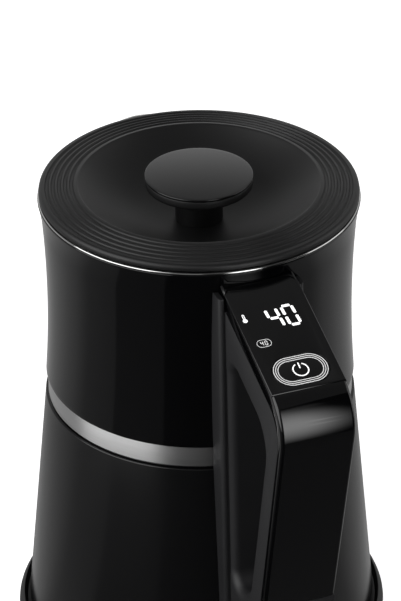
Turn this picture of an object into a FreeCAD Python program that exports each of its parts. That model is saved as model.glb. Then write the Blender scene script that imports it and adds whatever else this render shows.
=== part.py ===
"""Cordless electric kettle: a power base, a double-walled body with a digital handle, and a lift-off lid.

Millimetres, +Z up. The origin is on the kettle's axis at the surface that the base stands on.
The handle points along +X and the spout along -X.
"""
import FreeCAD
import Part
import os
import Sketcher

# Driving dimensions in millimetres and degrees, under the group of pieces that they belong to
SIZES = {
    "General": {
        "fit_gap": 0.1,
        "running_gap": 0.4,
        "screw_radius": 1.5,
        "screw_head_radius": 2.9,
        "screw_head_height": 1.4,
    },
    "Power base": {
        "base_margin": 4.6,
        "base_height": 18.0,
        "base_wall": 2.4,
        "base_lift": 1.8,
        "base_rim_rise": 2.6,
        "base_rim_round": 6.0,
        "seat_clearance": 1.2,
        "seat_gap": 0.4,
        "plate_lift": 1.2,
        "plate_wall": 3.2,
        "foot_radius": 62.0,
        "foot_width": 8.0,
        "foot_height": 2.6,
        "base_boss_radius": 4.2,
        "base_boss_circle": 46.0,
        "base_screw_length": 9.0,
        "gland_width": 12.0,
        "gland_height": 9.0,
        "gland_length": 14.0,
        "gland_bore": 3.5,
    },
    "Connector": {
        "tower_radius": 15.0,
        "tower_rise": 9.0,
        "tower_round": 2.0,
        "tower_flange": 4.0,
        "tower_flange_wall": 2.5,
        "pin_bore": 3.4,
        "pin_depth": 12.0,
        "pin_wall": 0.9,
        "ring_contact_radius": 9.0,
        "ring_contact_width": 2.0,
        "ring_contact_depth": 4.0,
        "ring_contact_sink": 1.0,
        "socket_wall": 3.0,
        "socket_flange": 4.0,
        "socket_flange_wall": 2.0,
        "plug_radius": 1.6,
        "plug_length": 9.0,
    },
    "Body": {
        "body_height": 199.6,
        "wall": 2.4,
        "shell_foot_radius": 74.4,
        "shell_top_radius": 64.6,
        "shell_edge_round": 3.0,
        "neck_height": 18.0,
        "neck_wall": 1.6,
        "band_height": 9.4,
        "band_radius": 63.5,
        "band_wall": 0.8,
        "band_gap": 0.9,
        "collar_drop": 83.3,
        "collar_foot_radius": 64.2,
        "waist_radius": 62.75,
        "waist_drop": 47.0,
        "flare_radius": 63.9,
        "flare_drop": 13.5,
        "rim_radius": 65.6,
        "rim_drop": 3.7,
        "rim_ring_radius": 65.3,
        "rim_ring_width": 2.2,
        "rim_ring_height": 2.5,
        "rim_lip_wall": 0.8,
        "bottom_wall": 3.0,
        "bottom_post_radius": 4.0,
        "bottom_post_circle": 40.0,
        "bottom_screw_length": 9.0,
    },
    "Pot and heater": {
        "pot_radius": 57.0,
        "pot_wall": 0.8,
        "pot_round": 6.0,
        "pot_floor_height": 30.0,
        "heater_radius": 42.0,
        "heater_wall": 4.0,
        "element_radius": 31.0,
        "element_tube": 3.2,
        "element_sweep": 300.0,
        "terminal_radius": 1.5,
        "terminal_length": 9.0,
        "cutout_radius": 8.0,
        "cutout_height": 6.0,
        "cutout_offset": 14.0,
        "probe_radius": 2.0,
        "probe_place": 47.0,
        "probe_rise": 16.0,
        "probe_tail": 8.0,
        "probe_seal_wall": 1.2,
        "probe_seal_flange": 1.4,
    },
    "Spout": {
        "spout_tip": 73.5,
        "spout_round": 17.0,
        "spout_depth": 42.0,
        "spout_root": 3.0,
        "spout_wall": 1.0,
        "strainer_width": 26.0,
        "strainer_height": 24.0,
        "strainer_margin": 3.0,
        "strainer_drop": 27.0,
        "strainer_wall": 0.8,
        "strainer_hole_radius": 1.1,
        "strainer_hole_pitch": 3.6,
    },
    "Handle": {
        "handle_width": 31.0,
        "handle_corner": 130.5,
        "handle_bend": 19.5,
        "handle_root": 58.0,
        "handle_foot_wall": 16.0,
        "grip_lean": 11.5,
        "cover_depth_top": 6.5,
        "cover_depth_grip": 3.0,
        "cover_drop": 132.0,
        "cover_edge_round": 1.6,
        "cover_inner_bend": 14.5,
        "seam": 0.4,
        "back_plate_width": 36.0,
        "back_plate_round": 1.8,
        "back_plate_reach": 68.5,
        "back_plate_foot_reach": 75.0,
        "hand_gap_reach": 72.5,
        "hand_gap_drop": 35.5,
        "hand_gap_corner": 111.0,
        "hand_gap_foot": 140.0,
        "hand_gap_foot_reach": 77.0,
        "hand_gap_foot_width": 15.3,
        "hand_gap_bend": 14.0,
        "hand_gap_round": 6.0,
        "grip_round": 4.0,
        "handle_screw_upper": 26.0,
        "handle_screw_inset": 6.0,
        "handle_screw_length": 10.0,
    },
    "Panel": {
        "panel_reach": 65.0,
        "panel_drop": 7.5,
        "panel_slope": 19.0,
        "panel_length": 55.3,
        "panel_wall": 1.2,
        "panel_chamfer": 3.0,
        "panel_round": 0.6,
        "panel_ledge": 3.2,
        "panel_end_ledge": 1.4,
        "board_depth": 5.4,
        "board_wall": 1.6,
        "cavity_depth": 12.0,
        "cavity_step": 2.0,
        "display_place": 19.3,
        "display_length": 12.0,
        "display_width": 22.0,
        "key_place": 46.0,
        "key_length": 23.0,
        "key_width": 14.2,
        "key_gap": 0.25,
        "key_stem_radius": 2.0,
        "key_stem_length": 2.1,
        "key_travel": 0.6,
        "switch_side": 6.0,
    },
    "Lid": {
        "lid_radius": 65.0,
        "lid_edge": 0.6,
        "lid_crown": 3.6,
        "lid_fall": 1.5,
        "lid_wall": 2.2,
        "lid_ring_start": 49.5,
        "lid_ring_pitch": 2.5,
        "lid_ring_cut": 0.85,
        "lid_ring_depth": 0.7,
        "lid_ring_end": 1.0,
        "dish_radius": 48.2,
        "dish_depth": 13.0,
        "dish_middle": 7.4,
        "dish_middle_radius": 32.0,
        "lid_seat_reach": 62.7,
        "lid_seat_width": 4.0,
        "lid_seat_drop": 1.8,
        "plug_outer": 55.8,
        "plug_wall": 2.2,
        "plug_drop": 17.0,
        "seal_drop": 12.0,
        "seal_height": 4.0,
        "seal_depth": 1.0,
        "seal_reach": 56.7,
        "liner_wall": 1.2,
        "knob_radius": 22.0,
        "knob_top": 6.4,
        "knob_edge_height": 3.4,
        "knob_edge_round": 1.2,
        "knob_stem_radius": 9.7,
        "knob_throat": 5.0,
        "cap_radius": 21.2,
        "cap_wall": 1.2,
        "cap_dome": 0.9,
        "knob_screw_length": 12.0,
    },
}
LID_RINGS = 6
BASE_SCREWS = 3
STRAINER_ROWS = 5
STRAINER_COLUMNS = 6

doc = FreeCAD.newDocument("kettle")
sheet = doc.addObject("Spreadsheet::Sheet", "Dim")


def fill_sheet():
    """Writes each driving dimension to a row of the sheet, with its name as the alias."""
    row = 1
    for group, sizes in SIZES.items():
        sheet.set(f"A{row}", group)
        row += 1
        for name, value in sizes.items():
            sheet.set(f"A{row}", name)
            sheet.set(f"B{row}", str(value))
            sheet.setAlias(f"B{row}", name)
            row += 1
    doc.recompute()


fill_sheet()
nodes = []


def node(piece, label):
    """Names a finished piece, which then gets a file of its own."""
    piece.Label = label
    nodes.append(piece)
    return piece


def number(text):
    """The present value of an expression."""
    return float(sheet.evalExpression(text.replace("Dim.", "")))


# Heights that several pieces share, measured from the surface that the base stands on
BASE_TOP = "Dim.base_height"
BASE_RADIUS = "(Dim.shell_foot_radius + Dim.base_margin)"
BODY_FOOT = "(Dim.base_height + Dim.seat_gap)"
LID_EDGE = f"({BODY_FOOT} + Dim.body_height)"
RIM = f"({LID_EDGE} - Dim.rim_drop)"
COLLAR_FOOT = f"({LID_EDGE} - Dim.collar_drop)"
SHELL_TOP = f"({COLLAR_FOOT} - Dim.band_height - Dim.band_gap)"
NECK_TOP = f"({SHELL_TOP} + Dim.neck_height)"
NECK_RADIUS = "(Dim.band_radius - Dim.band_wall - Dim.fit_gap)"
PLATE_TOP = "(Dim.plate_lift + Dim.plate_wall)"
TOWER_TOP = f"({BASE_TOP} + Dim.tower_rise)"
SOCKET_BORE = "(Dim.tower_radius + Dim.running_gap)"
SOCKET_RADIUS = f"({SOCKET_BORE} + Dim.socket_wall)"
POT_FLOOR = f"({BODY_FOOT} + Dim.pot_floor_height)"
HEATER_FOOT = f"({POT_FLOOR} - Dim.heater_wall)"
HAND_GAP_FOOT = f"({LID_EDGE} - Dim.hand_gap_foot)"
HANDLE_FOOT = f"({HAND_GAP_FOOT} - Dim.handle_foot_wall)"
LOWER_SCREW = f"({HAND_GAP_FOOT} - Dim.handle_screw_inset)"


def origin_plane(body, role):
    return next(item for item in body.Origin.OriginFeatures if item.Role == role)


def new_body(name):
    return doc.addObject("PartDesign::Body", name)


def new_sketch(body, role, lift=None):
    """A sketch on one of the body's own planes, moved along the plane's normal where a lift is given."""
    sketch = body.newObject("Sketcher::SketchObject", body.Name + "_sketch")
    sketch.AttachmentSupport = [(origin_plane(body, role), "")]
    sketch.MapMode = "FlatFace"
    if lift:
        sketch.setExpression("AttachmentOffset.Base.z", lift)
    return sketch


def pin(sketch, curve, end, across, up):
    """Holds a point of the sketch at two coordinates given as expressions."""
    for kind, text in (("DistanceX", across), ("DistanceY", up)):
        place = sketch.addConstraint(Sketcher.Constraint(kind, -1, 1, curve, end, number(text)))
        sketch.setExpression(f"Constraints[{place}]", text)


def at(across, up):
    return FreeCAD.Vector(number(across), number(up), 0)


def outline(sketch, corners):
    """Draws a closed outline. A corner is (across, up), or (across, up, via_across, via_up) where an arc
    through the via point leads to the next corner."""
    first = sketch.GeometryCount
    count = len(corners)
    for index, corner in enumerate(corners):
        after = corners[(index + 1) % count]
        start = at(*corner[:2])
        end = at(*after[:2])
        if len(corner) == 2:
            sketch.addGeometry(Part.LineSegment(start, end))
        else:
            sketch.addGeometry(Part.Arc(start, at(*corner[2:]), end))
    for index, corner in enumerate(corners):
        curve = first + index
        follower = first + (index + 1) % count
        begin, finish = ends(sketch, curve, at(*corner[:2]))
        next_begin, _ = ends(sketch, follower, at(*corners[(index + 1) % count][:2]))
        sketch.addConstraint(Sketcher.Constraint("Coincident", curve, finish, follower, next_begin))
        pin(sketch, curve, begin, *corner[:2])
        if len(corner) == 4:
            via = sketch.addGeometry(Part.Point(at(*corner[2:])), True)
            sketch.addConstraint(Sketcher.Constraint("PointOnObject", via, 1, curve))
            pin(sketch, via, 1, *corner[2:])


def ends(sketch, curve, start):
    """Which end of a curve lies at the start point, and the other one: an arc may run either way."""
    if sketch.getPoint(curve, 1).distanceToPoint(start) < 1e-6:
        return 1, 2
    return 2, 1


def circle(sketch, across, up, radius):
    curve = sketch.addGeometry(Part.Circle(at(across, up), FreeCAD.Vector(0, 0, 1), number(radius)))
    pin(sketch, curve, 3, across, up)
    place = sketch.addConstraint(Sketcher.Constraint("Radius", curve, number(radius)))
    sketch.setExpression(f"Constraints[{place}]", radius)


def revolve(body, corners, kind="PartDesign::Revolution"):
    """Turns an outline of (radius, height) corners about the body's Z axis, to add or to cut."""
    sketch = new_sketch(body, "XZ_Plane")
    outline(sketch, corners)
    feature = body.newObject(kind, body.Name + "_turn")
    feature.Profile = sketch
    feature.ReferenceAxis = (sketch, ["V_Axis"])
    feature.Angle = 360
    doc.recompute()
    return feature


def pad(body, sketch, length, both_ways=False, kind="PartDesign::Pad", backward=False):
    """Raises or sinks a sketch by a length."""
    feature = body.newObject(kind, body.Name + "_pad")
    feature.Profile = sketch
    feature.setExpression("Length", length)
    feature.Midplane = both_ways
    feature.Reversed = backward
    doc.recompute()
    return feature


def round_pattern(body, feature, count):
    """Repeats a feature evenly about the Z axis."""
    pattern = body.newObject("PartDesign::PolarPattern", body.Name + "_round")
    pattern.Originals = [feature]
    pattern.Axis = (next(item for item in body.Origin.OriginFeatures if item.Role == "Z_Axis"), [""])
    pattern.Angle = 360
    pattern.Occurrences = count
    body.Tip = pattern
    doc.recompute()
    return pattern


def fillet(body, feature, test, radius):
    """Rounds the edges of the body's last feature that pass the test."""
    names = [f"Edge{i}" for i, edge in enumerate(feature.Shape.Edges, 1) if test(edge)]
    rounding = body.newObject("PartDesign::Fillet", body.Name + "_fillet")
    rounding.Base = (feature, names)
    rounding.setExpression("Radius", radius)
    doc.recompute()
    return rounding


def middle(edge):
    """The point half way along an edge."""
    return edge.valueAt((edge.FirstParameter + edge.LastParameter) / 2)


def cylinder(name, radius, height, x="0", y="0", z="0"):
    piece = doc.addObject("Part::Cylinder", name)
    piece.setExpression("Radius", radius)
    piece.setExpression("Height", height)
    place(piece, x, y, z)
    return piece


def box(name, length, width, height):
    piece = doc.addObject("Part::Box", name)
    piece.setExpression("Length", length)
    piece.setExpression("Width", width)
    piece.setExpression("Height", height)
    return piece


def place(piece, x, y, z):
    for axis, text in (("x", x), ("y", y), ("z", z)):
        piece.setExpression(f"Placement.Base.{axis}", text)


def turn(piece, axis, angle):
    """Turns a piece about an axis through its own origin, by an angle given as an expression."""
    piece.Placement.Rotation = FreeCAD.Rotation(axis, number(angle))
    piece.setExpression("Placement.Rotation.Angle", angle)


def cut(base, *tools):
    """Takes tools out of a base, one after the other."""
    for tool in tools:
        result = doc.addObject("Part::Cut", base.Name + "_cut")
        result.Base = base
        result.Tool = tool
        base = result
    return base


def group(name, pieces):
    """Loose like pieces that share one node."""
    compound = doc.addObject("Part::Compound", name)
    compound.Links = pieces
    return node(compound, name)


def screw(name, length, x, y, z, axis=None, angle="0"):
    """A pan-head screw whose head stands on its origin and whose shank points along its own +Z."""
    body = new_body(name)
    revolve(body, [
        ("0", "-Dim.screw_head_height"),
        ("Dim.screw_head_radius - 0.4 * Dim.screw_head_height", "-Dim.screw_head_height"),
        ("Dim.screw_head_radius", "-0.6 * Dim.screw_head_height"),
        ("Dim.screw_head_radius", "0"),
        ("Dim.screw_radius", "0"),
        ("Dim.screw_radius", length),
        ("0", length),
    ])
    place(body, x, y, z)
    if axis:
        turn(body, axis, angle)
    return body


def on_circle(radius, count):
    """Expressions for evenly spaced places on a circle about the Z axis."""
    for index in range(count):
        angle = 360 / count * index
        yield f"{radius} * cos({angle:g})", f"{radius} * sin({angle:g})"


# Power base


def build_base_foot():
    body = new_body("base_foot")
    inner = "Dim.foot_radius - Dim.foot_width / 2"
    outer = "Dim.foot_radius + Dim.foot_width / 2"
    revolve(body, [(inner, "0"), (outer, "0"), (outer, "Dim.foot_height"), (inner, "Dim.foot_height")])
    node(body, "base_foot")


def build_base_plate():
    body = new_body("base_plate")
    edge = f"{BASE_RADIUS} - Dim.base_wall - Dim.fit_gap"
    inner = "Dim.foot_radius - Dim.foot_width / 2 - Dim.fit_gap"
    outer = "Dim.foot_radius + Dim.foot_width / 2 + Dim.fit_gap"
    revolve(body, [
        ("0", "Dim.plate_lift"),
        (inner, "Dim.plate_lift"),
        (inner, "Dim.foot_height"),
        (outer, "Dim.foot_height"),
        (outer, "Dim.plate_lift"),
        (edge, "Dim.plate_lift"),
        (edge, PLATE_TOP),
        ("0", PLATE_TOP),
    ])
    sketch = new_sketch(body, "XY_Plane", "Dim.plate_lift")
    circle(sketch, "Dim.base_boss_circle", "0", "Dim.screw_head_radius + Dim.fit_gap")
    sink = pad(body, sketch, "Dim.screw_head_height", kind="PartDesign::Pocket", backward=True)
    round_pattern(body, sink, BASE_SCREWS)
    sketch = new_sketch(body, "XY_Plane", "Dim.plate_lift")
    circle(sketch, "Dim.base_boss_circle", "0", "Dim.screw_radius + Dim.fit_gap")
    hole = pad(body, sketch, "Dim.plate_wall", kind="PartDesign::Pocket", backward=True)
    round_pattern(body, hole, BASE_SCREWS)
    node(body, "base_plate")


def build_base_cover():
    body = new_body("base_dome")
    bore = "Dim.tower_radius + Dim.fit_gap"
    seat = "(Dim.shell_foot_radius + Dim.seat_clearance)"
    top = f"({BASE_TOP} + Dim.base_rim_rise)"
    edge = f"({top} - Dim.base_rim_round)"
    shoulder = f"({seat} + Dim.base_rim_rise / 2)"
    roof = f"{BASE_TOP} - Dim.base_wall"
    revolve(body, [
        (bore, roof),
        (bore, BASE_TOP),
        (seat, BASE_TOP),
        (shoulder, top, f"{shoulder} + ({BASE_RADIUS} - {shoulder}) * sin(45)",
         f"{edge} + Dim.base_rim_round * sin(45)"),
        (BASE_RADIUS, edge),
        (BASE_RADIUS, "Dim.base_lift"),
        (f"{BASE_RADIUS} - Dim.base_wall", "Dim.base_lift"),
        (f"{BASE_RADIUS} - Dim.base_wall", roof),
    ])
    sketch = new_sketch(body, "XY_Plane", PLATE_TOP)
    circle(sketch, "Dim.base_boss_circle", "0", "Dim.base_boss_radius")
    circle(sketch, "Dim.base_boss_circle", "0", "Dim.screw_radius")
    boss = pad(body, sketch, f"{roof} - {PLATE_TOP}")
    round_pattern(body, boss, BASE_SCREWS)
    notch = box("cord_notch", "Dim.gland_length", "Dim.gland_width", "Dim.gland_height")
    place(notch, f"-{BASE_RADIUS} - Dim.gland_length / 2", "-Dim.gland_width / 2", PLATE_TOP)
    node(cut(body, notch), "base_cover")


def build_cord_gland():
    """The bush in the base's wall that a mains cord passes through."""
    block = box("gland_block", "Dim.gland_length", "Dim.gland_width - 2 * Dim.fit_gap",
                "Dim.gland_height - 2 * Dim.fit_gap")
    place(block, f"-{BASE_RADIUS}", "-Dim.gland_width / 2 + Dim.fit_gap", f"{PLATE_TOP} + Dim.fit_gap / 2")
    bore = cylinder("gland_hole", "Dim.gland_bore", "Dim.gland_length", f"-{BASE_RADIUS}", "0",
                    f"{PLATE_TOP} + Dim.gland_height / 2")
    turn(bore, FreeCAD.Vector(0, 1, 0), "90")
    node(cut(block, bore), "cord_gland")


def build_base_connector():
    body = new_body("base_connector")
    ring_in = "(Dim.ring_contact_radius - Dim.ring_contact_width / 2 - Dim.fit_gap)"
    ring_out = "(Dim.ring_contact_radius + Dim.ring_contact_width / 2 + Dim.fit_gap)"
    ring_floor = f"{TOWER_TOP} - Dim.ring_contact_depth"
    pin_floor = f"{TOWER_TOP} - Dim.pin_depth"
    flange_top = f"{BASE_TOP} - Dim.base_wall"
    flange = "Dim.tower_radius + Dim.tower_flange"
    revolve(body, [
        ("0", PLATE_TOP),
        ("Dim.tower_radius", PLATE_TOP),
        ("Dim.tower_radius", f"{flange_top} - Dim.tower_flange_wall"),
        (flange, f"{flange_top} - Dim.tower_flange_wall"),
        (flange, flange_top),
        ("Dim.tower_radius", flange_top),
        ("Dim.tower_radius", f"{TOWER_TOP} - Dim.tower_round"),
        ("Dim.tower_radius - Dim.tower_round", TOWER_TOP),
        (ring_out, TOWER_TOP),
        (ring_out, ring_floor),
        (ring_in, ring_floor),
        (ring_in, TOWER_TOP),
        ("Dim.pin_bore", TOWER_TOP),
        ("Dim.pin_bore", pin_floor),
        ("0", pin_floor),
    ])
    node(body, "base_connector")


def build_base_contacts():
    """A contact tube in the middle of the tower and a contact ring round it."""
    tube = new_body("contact_tube")
    outer = "Dim.pin_bore - Dim.fit_gap"
    foot = f"{TOWER_TOP} - Dim.pin_depth"
    top = f"{TOWER_TOP} - Dim.ring_contact_sink"
    inner = f"{outer} - Dim.pin_wall"
    revolve(tube, [(inner, foot), (outer, foot), (outer, top), (inner, top)])
    ring = new_body("contact_ring")
    near = "Dim.ring_contact_radius - Dim.ring_contact_width / 2"
    far = "Dim.ring_contact_radius + Dim.ring_contact_width / 2"
    floor = f"{TOWER_TOP} - Dim.ring_contact_depth"
    revolve(ring, [(near, floor), (far, floor), (far, top), (near, top)])
    group("base_contacts", [tube, ring])


def build_base_screws():
    head = "Dim.plate_lift + Dim.screw_head_height"
    places = on_circle("Dim.base_boss_circle", BASE_SCREWS)
    group("base_screws", [screw(f"base_screw_{i}", "Dim.base_screw_length", x, y, head)
                          for i, (x, y) in enumerate(places)])


# Connector half under the kettle


def build_connector_socket():
    body = new_body("connector_socket")
    roof = f"{TOWER_TOP} + Dim.running_gap"
    flange_foot = f"{BODY_FOOT} + Dim.bottom_wall + Dim.running_gap"
    flange = f"{SOCKET_RADIUS} + Dim.socket_flange"
    revolve(body, [
        (SOCKET_BORE, BODY_FOOT),
        (SOCKET_RADIUS, BODY_FOOT),
        (SOCKET_RADIUS, flange_foot),
        (flange, flange_foot),
        (flange, f"{flange_foot} + Dim.socket_flange_wall"),
        (SOCKET_RADIUS, f"{flange_foot} + Dim.socket_flange_wall"),
        (SOCKET_RADIUS, f"{roof} + Dim.socket_wall"),
        ("Dim.plug_radius", f"{roof} + Dim.socket_wall"),
        ("Dim.plug_radius", roof),
        (SOCKET_BORE, roof),
    ])
    node(body, "connector_socket")


def build_socket_contacts():
    """The pin that enters the contact tube, and the spring ring that presses on the contact ring."""
    roof = f"({TOWER_TOP} + Dim.running_gap)"
    plug = cylinder("contact_pin", "Dim.plug_radius", "Dim.plug_length + Dim.socket_wall", "0", "0",
                    f"{roof} - Dim.plug_length")
    ring = new_body("spring_ring")
    near = "Dim.ring_contact_radius - Dim.ring_contact_width / 4"
    far = "Dim.ring_contact_radius + Dim.ring_contact_width / 4"
    foot = f"{TOWER_TOP} - Dim.ring_contact_sink + Dim.running_gap"
    revolve(ring, [(near, foot), (far, foot), (far, roof), (near, roof)])
    group("socket_contacts", [plug, ring])


# Kettle body


def build_bottom_cover():
    body = new_body("bottom_cover")
    bore = f"{SOCKET_RADIUS} + Dim.running_gap"
    edge = "Dim.shell_foot_radius - Dim.shell_edge_round - Dim.wall - Dim.fit_gap"
    top = f"{BODY_FOOT} + Dim.bottom_wall"
    revolve(body, [(bore, BODY_FOOT), (edge, BODY_FOOT), (edge, top), (bore, top)])
    sketch = new_sketch(body, "XY_Plane", top)
    circle(sketch, "Dim.bottom_post_circle", "0", "Dim.bottom_post_radius")
    post = pad(body, sketch, f"{HEATER_FOOT} - ({top})")
    round_pattern(body, post, BASE_SCREWS)
    sketch = new_sketch(body, "XY_Plane", BODY_FOOT)
    circle(sketch, "Dim.bottom_post_circle", "0", "Dim.screw_head_radius + Dim.fit_gap")
    sink = pad(body, sketch, "Dim.screw_head_height + Dim.running_gap", kind="PartDesign::Pocket", backward=True)
    round_pattern(body, sink, BASE_SCREWS)
    sketch = new_sketch(body, "XY_Plane", BODY_FOOT)
    circle(sketch, "Dim.bottom_post_circle", "0", "Dim.screw_radius")
    hole = pad(body, sketch, "Dim.bottom_screw_length + Dim.bottom_wall", kind="PartDesign::Pocket",
               backward=True)
    round_pattern(body, hole, BASE_SCREWS)
    node(body, "bottom_cover")


def build_bottom_screws():
    head = f"{BODY_FOOT} + Dim.screw_head_height + Dim.running_gap"
    places = on_circle("Dim.bottom_post_circle", BASE_SCREWS)
    group("bottom_screws", [screw(f"bottom_screw_{i}", "Dim.bottom_screw_length", x, y, head)
                            for i, (x, y) in enumerate(places)])


def build_lower_shell():
    """The conical outer shell, with a neck at its top that carries the band and the collar."""
    body = new_body("shell_cone")
    corner = "Dim.shell_edge_round"
    foot_inner = "Dim.shell_foot_radius - Dim.shell_edge_round - Dim.wall"
    neck_inner = f"{NECK_RADIUS} - Dim.neck_wall"
    revolve(body, [
        (foot_inner, BODY_FOOT),
        (f"Dim.shell_foot_radius - {corner}", BODY_FOOT,
         f"Dim.shell_foot_radius - {corner} * (1 - sin(45))", f"{BODY_FOOT} + {corner} * (1 - sin(45))"),
        ("Dim.shell_foot_radius", f"{BODY_FOOT} + {corner}"),
        ("Dim.shell_top_radius", SHELL_TOP),
        (NECK_RADIUS, SHELL_TOP),
        (NECK_RADIUS, NECK_TOP),
        (neck_inner, NECK_TOP),
        (neck_inner, f"{SHELL_TOP} - Dim.wall"),
        ("Dim.shell_top_radius - Dim.wall", f"{SHELL_TOP} - 2 * Dim.wall"),
        ("Dim.shell_foot_radius - Dim.wall", f"{BODY_FOOT} + Dim.bottom_wall + 2 * {corner}"),
        (foot_inner, f"{BODY_FOOT} + Dim.bottom_wall + Dim.fit_gap"),
    ])
    node(cut(body, handle_screw_hole("shell", "lower")), "lower_shell")


def build_steel_band():
    body = new_body("steel_band")
    inner = f"{NECK_RADIUS} + Dim.fit_gap"
    foot = f"{SHELL_TOP} + Dim.band_gap"
    revolve(body, [(inner, foot), ("Dim.band_radius", foot), ("Dim.band_radius", COLLAR_FOOT),
                   (inner, COLLAR_FOOT)])
    node(body, "steel_band")


def collar_outside(gap="0"):
    """The collar's outer line from its foot, over its waist, to the flare under the rim."""
    bend = "(Dim.flare_drop + Dim.rim_drop) / 2"
    hollow = "0.35 * (Dim.rim_radius - Dim.flare_radius)"
    return [
        (f"Dim.collar_foot_radius + {gap}", COLLAR_FOOT, f"Dim.waist_radius + {gap}",
         f"{LID_EDGE} - Dim.waist_drop"),
        (f"Dim.flare_radius + {gap}", f"{LID_EDGE} - Dim.flare_drop", f"Dim.flare_radius + {hollow} + {gap}",
         f"{LID_EDGE} - {bend}"),
        (f"Dim.rim_radius + {gap}", RIM),
    ]


def build_upper_collar():
    body = new_body("collar_wall")
    inner = "Dim.waist_radius - Dim.wall"
    socket = f"{NECK_RADIUS} + Dim.fit_gap"
    revolve(body, collar_outside() + [
        (inner, RIM),
        (inner, f"{NECK_TOP} + Dim.wall"),
        (socket, f"{NECK_TOP} + Dim.fit_gap"),
        (socket, COLLAR_FOOT),
    ])
    window = spout_cone("collar_window", "Dim.spout_wall")
    node(cut(body, window, handle_screw_hole("collar", "upper")), "upper_collar")


def build_body_envelope():
    """The space inside the outer surface of the body, which the spout and the handle stop at."""
    body = new_body("body_envelope")
    gap = "Dim.fit_gap"
    shell = [
        ("0", BODY_FOOT),
        (f"Dim.shell_foot_radius + {gap}", BODY_FOOT),
        (f"Dim.shell_foot_radius + {gap}", f"{BODY_FOOT} + Dim.shell_edge_round"),
        (f"Dim.shell_top_radius + {gap}", SHELL_TOP),
        (f"Dim.collar_foot_radius + {gap}", f"{SHELL_TOP} + Dim.band_gap"),
    ]
    top = [(f"Dim.rim_radius + {gap}", LID_EDGE), ("0", LID_EDGE)]
    revolve(body, shell + collar_outside(gap) + top)
    return body


def spout_cone(name, inset):
    """The beak's cone, or with an inset its hollow."""
    cone = doc.addObject("Part::Cone", name)
    cone.setExpression("Radius1", f"Dim.spout_root - {inset}")
    cone.setExpression("Radius2", f"Dim.spout_round - {inset}")
    cone.setExpression("Height", "Dim.spout_depth")
    place(cone, "Dim.spout_round - Dim.spout_tip", "0", f"{RIM} - Dim.spout_depth")
    return cone


def build_spout_lip(envelope):
    beak = cut(spout_cone("spout_outside", "0"), spout_cone("spout_hollow", "Dim.spout_wall"), envelope)
    node(beak, "spout_lip")


def build_rim_ring():
    body = new_body("rim_ring")
    inner = "Dim.rim_ring_radius - Dim.rim_ring_width"
    top = f"{RIM} + Dim.rim_ring_height"
    half = f"{RIM} + Dim.rim_ring_height / 2"
    lip_foot = f"{RIM} + Dim.pot_wall"
    lip_top = f"{lip_foot} + Dim.rim_lip_wall"
    lip_inner = "Dim.pot_radius + Dim.pot_wall + Dim.rim_ring_width"
    revolve(body, [
        (inner, RIM),
        ("Dim.rim_ring_radius - Dim.rim_ring_height / 4", RIM, "Dim.rim_ring_radius", half),
        ("Dim.rim_ring_radius - Dim.rim_ring_height / 4", top),
        (inner, top),
        (inner, lip_top),
        (lip_inner, lip_top),
        (lip_inner, lip_foot),
        (inner, lip_foot),
    ])
    node(body, "rim_ring")


def build_inner_pot():
    body = new_body("pot_cup")
    outer = "(Dim.pot_radius + Dim.pot_wall)"
    bend = "Dim.pot_round"
    inner_bend = "(Dim.pot_round - Dim.pot_wall)"
    flange = "Dim.rim_ring_radius - Dim.rim_ring_width - Dim.fit_gap"
    slack = "(1 - sin(45))"
    revolve(body, [
        ("0", POT_FLOOR),
        (f"{outer} - {bend}", POT_FLOOR, f"{outer} - {bend} * {slack}", f"{POT_FLOOR} + {bend} * {slack}"),
        (outer, f"{POT_FLOOR} + {bend}"),
        (outer, RIM),
        (flange, RIM),
        (flange, f"{RIM} + Dim.pot_wall"),
        ("Dim.pot_radius", f"{RIM} + Dim.pot_wall"),
        ("Dim.pot_radius", f"{POT_FLOOR} + {bend}", f"{outer} - {bend} + {inner_bend} * sin(45)",
         f"{POT_FLOOR} + {bend} - {inner_bend} * sin(45)"),
        (f"{outer} - {bend}", f"{POT_FLOOR} + Dim.pot_wall"),
        ("0", f"{POT_FLOOR} + Dim.pot_wall"),
    ])
    window = box("strainer_window", "Dim.pot_radius", "Dim.strainer_width", "Dim.strainer_height")
    place(window, "-1.5 * Dim.pot_radius", "-Dim.strainer_width / 2", f"{LID_EDGE} - Dim.strainer_drop - "
          "Dim.strainer_height / 2")
    hole = cylinder("probe_hole", "Dim.probe_radius + Dim.probe_seal_wall", "Dim.pot_round", "0",
                    "Dim.probe_place", f"{POT_FLOOR} - Dim.pot_round / 2")
    node(cut(body, window, hole), "inner_pot")


def build_spout_strainer():
    """A curved plate with rows of holes over the pot's pouring window."""
    body = new_body("strainer_plate")
    sketch = new_sketch(body, "XZ_Plane")
    inner = "(Dim.pot_radius - Dim.strainer_wall - Dim.fit_gap)"
    outer = "(Dim.pot_radius - Dim.fit_gap)"
    half = "(Dim.strainer_height / 2 + Dim.strainer_margin)"
    mid = f"({LID_EDGE} - Dim.strainer_drop)"
    outline(sketch, [(f"-{outer}", f"{mid} - {half}"), (f"-{inner}", f"{mid} - {half}"),
                     (f"-{inner}", f"{mid} + {half}"), (f"-{outer}", f"{mid} + {half}")])
    feature = body.newObject("PartDesign::Revolution", "strainer_turn")
    feature.Profile = sketch
    feature.ReferenceAxis = (sketch, ["V_Axis"])
    feature.Midplane = True
    feature.setExpression("Angle", f"2 * asin((Dim.strainer_width / 2 + Dim.strainer_margin) / {outer})")
    doc.recompute()
    sketch = new_sketch(body, "YZ_Plane")
    for row in range(STRAINER_ROWS):
        for column in range(STRAINER_COLUMNS):
            across = f"({column} - {(STRAINER_COLUMNS - 1) / 2}) * Dim.strainer_hole_pitch"
            up = f"{mid} + ({row} - {(STRAINER_ROWS - 1) / 2}) * Dim.strainer_hole_pitch"
            circle(sketch, across, up, "Dim.strainer_hole_radius")
    pad(body, sketch, "1.5 * Dim.pot_radius", kind="PartDesign::Pocket")
    node(body, "spout_strainer")


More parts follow.
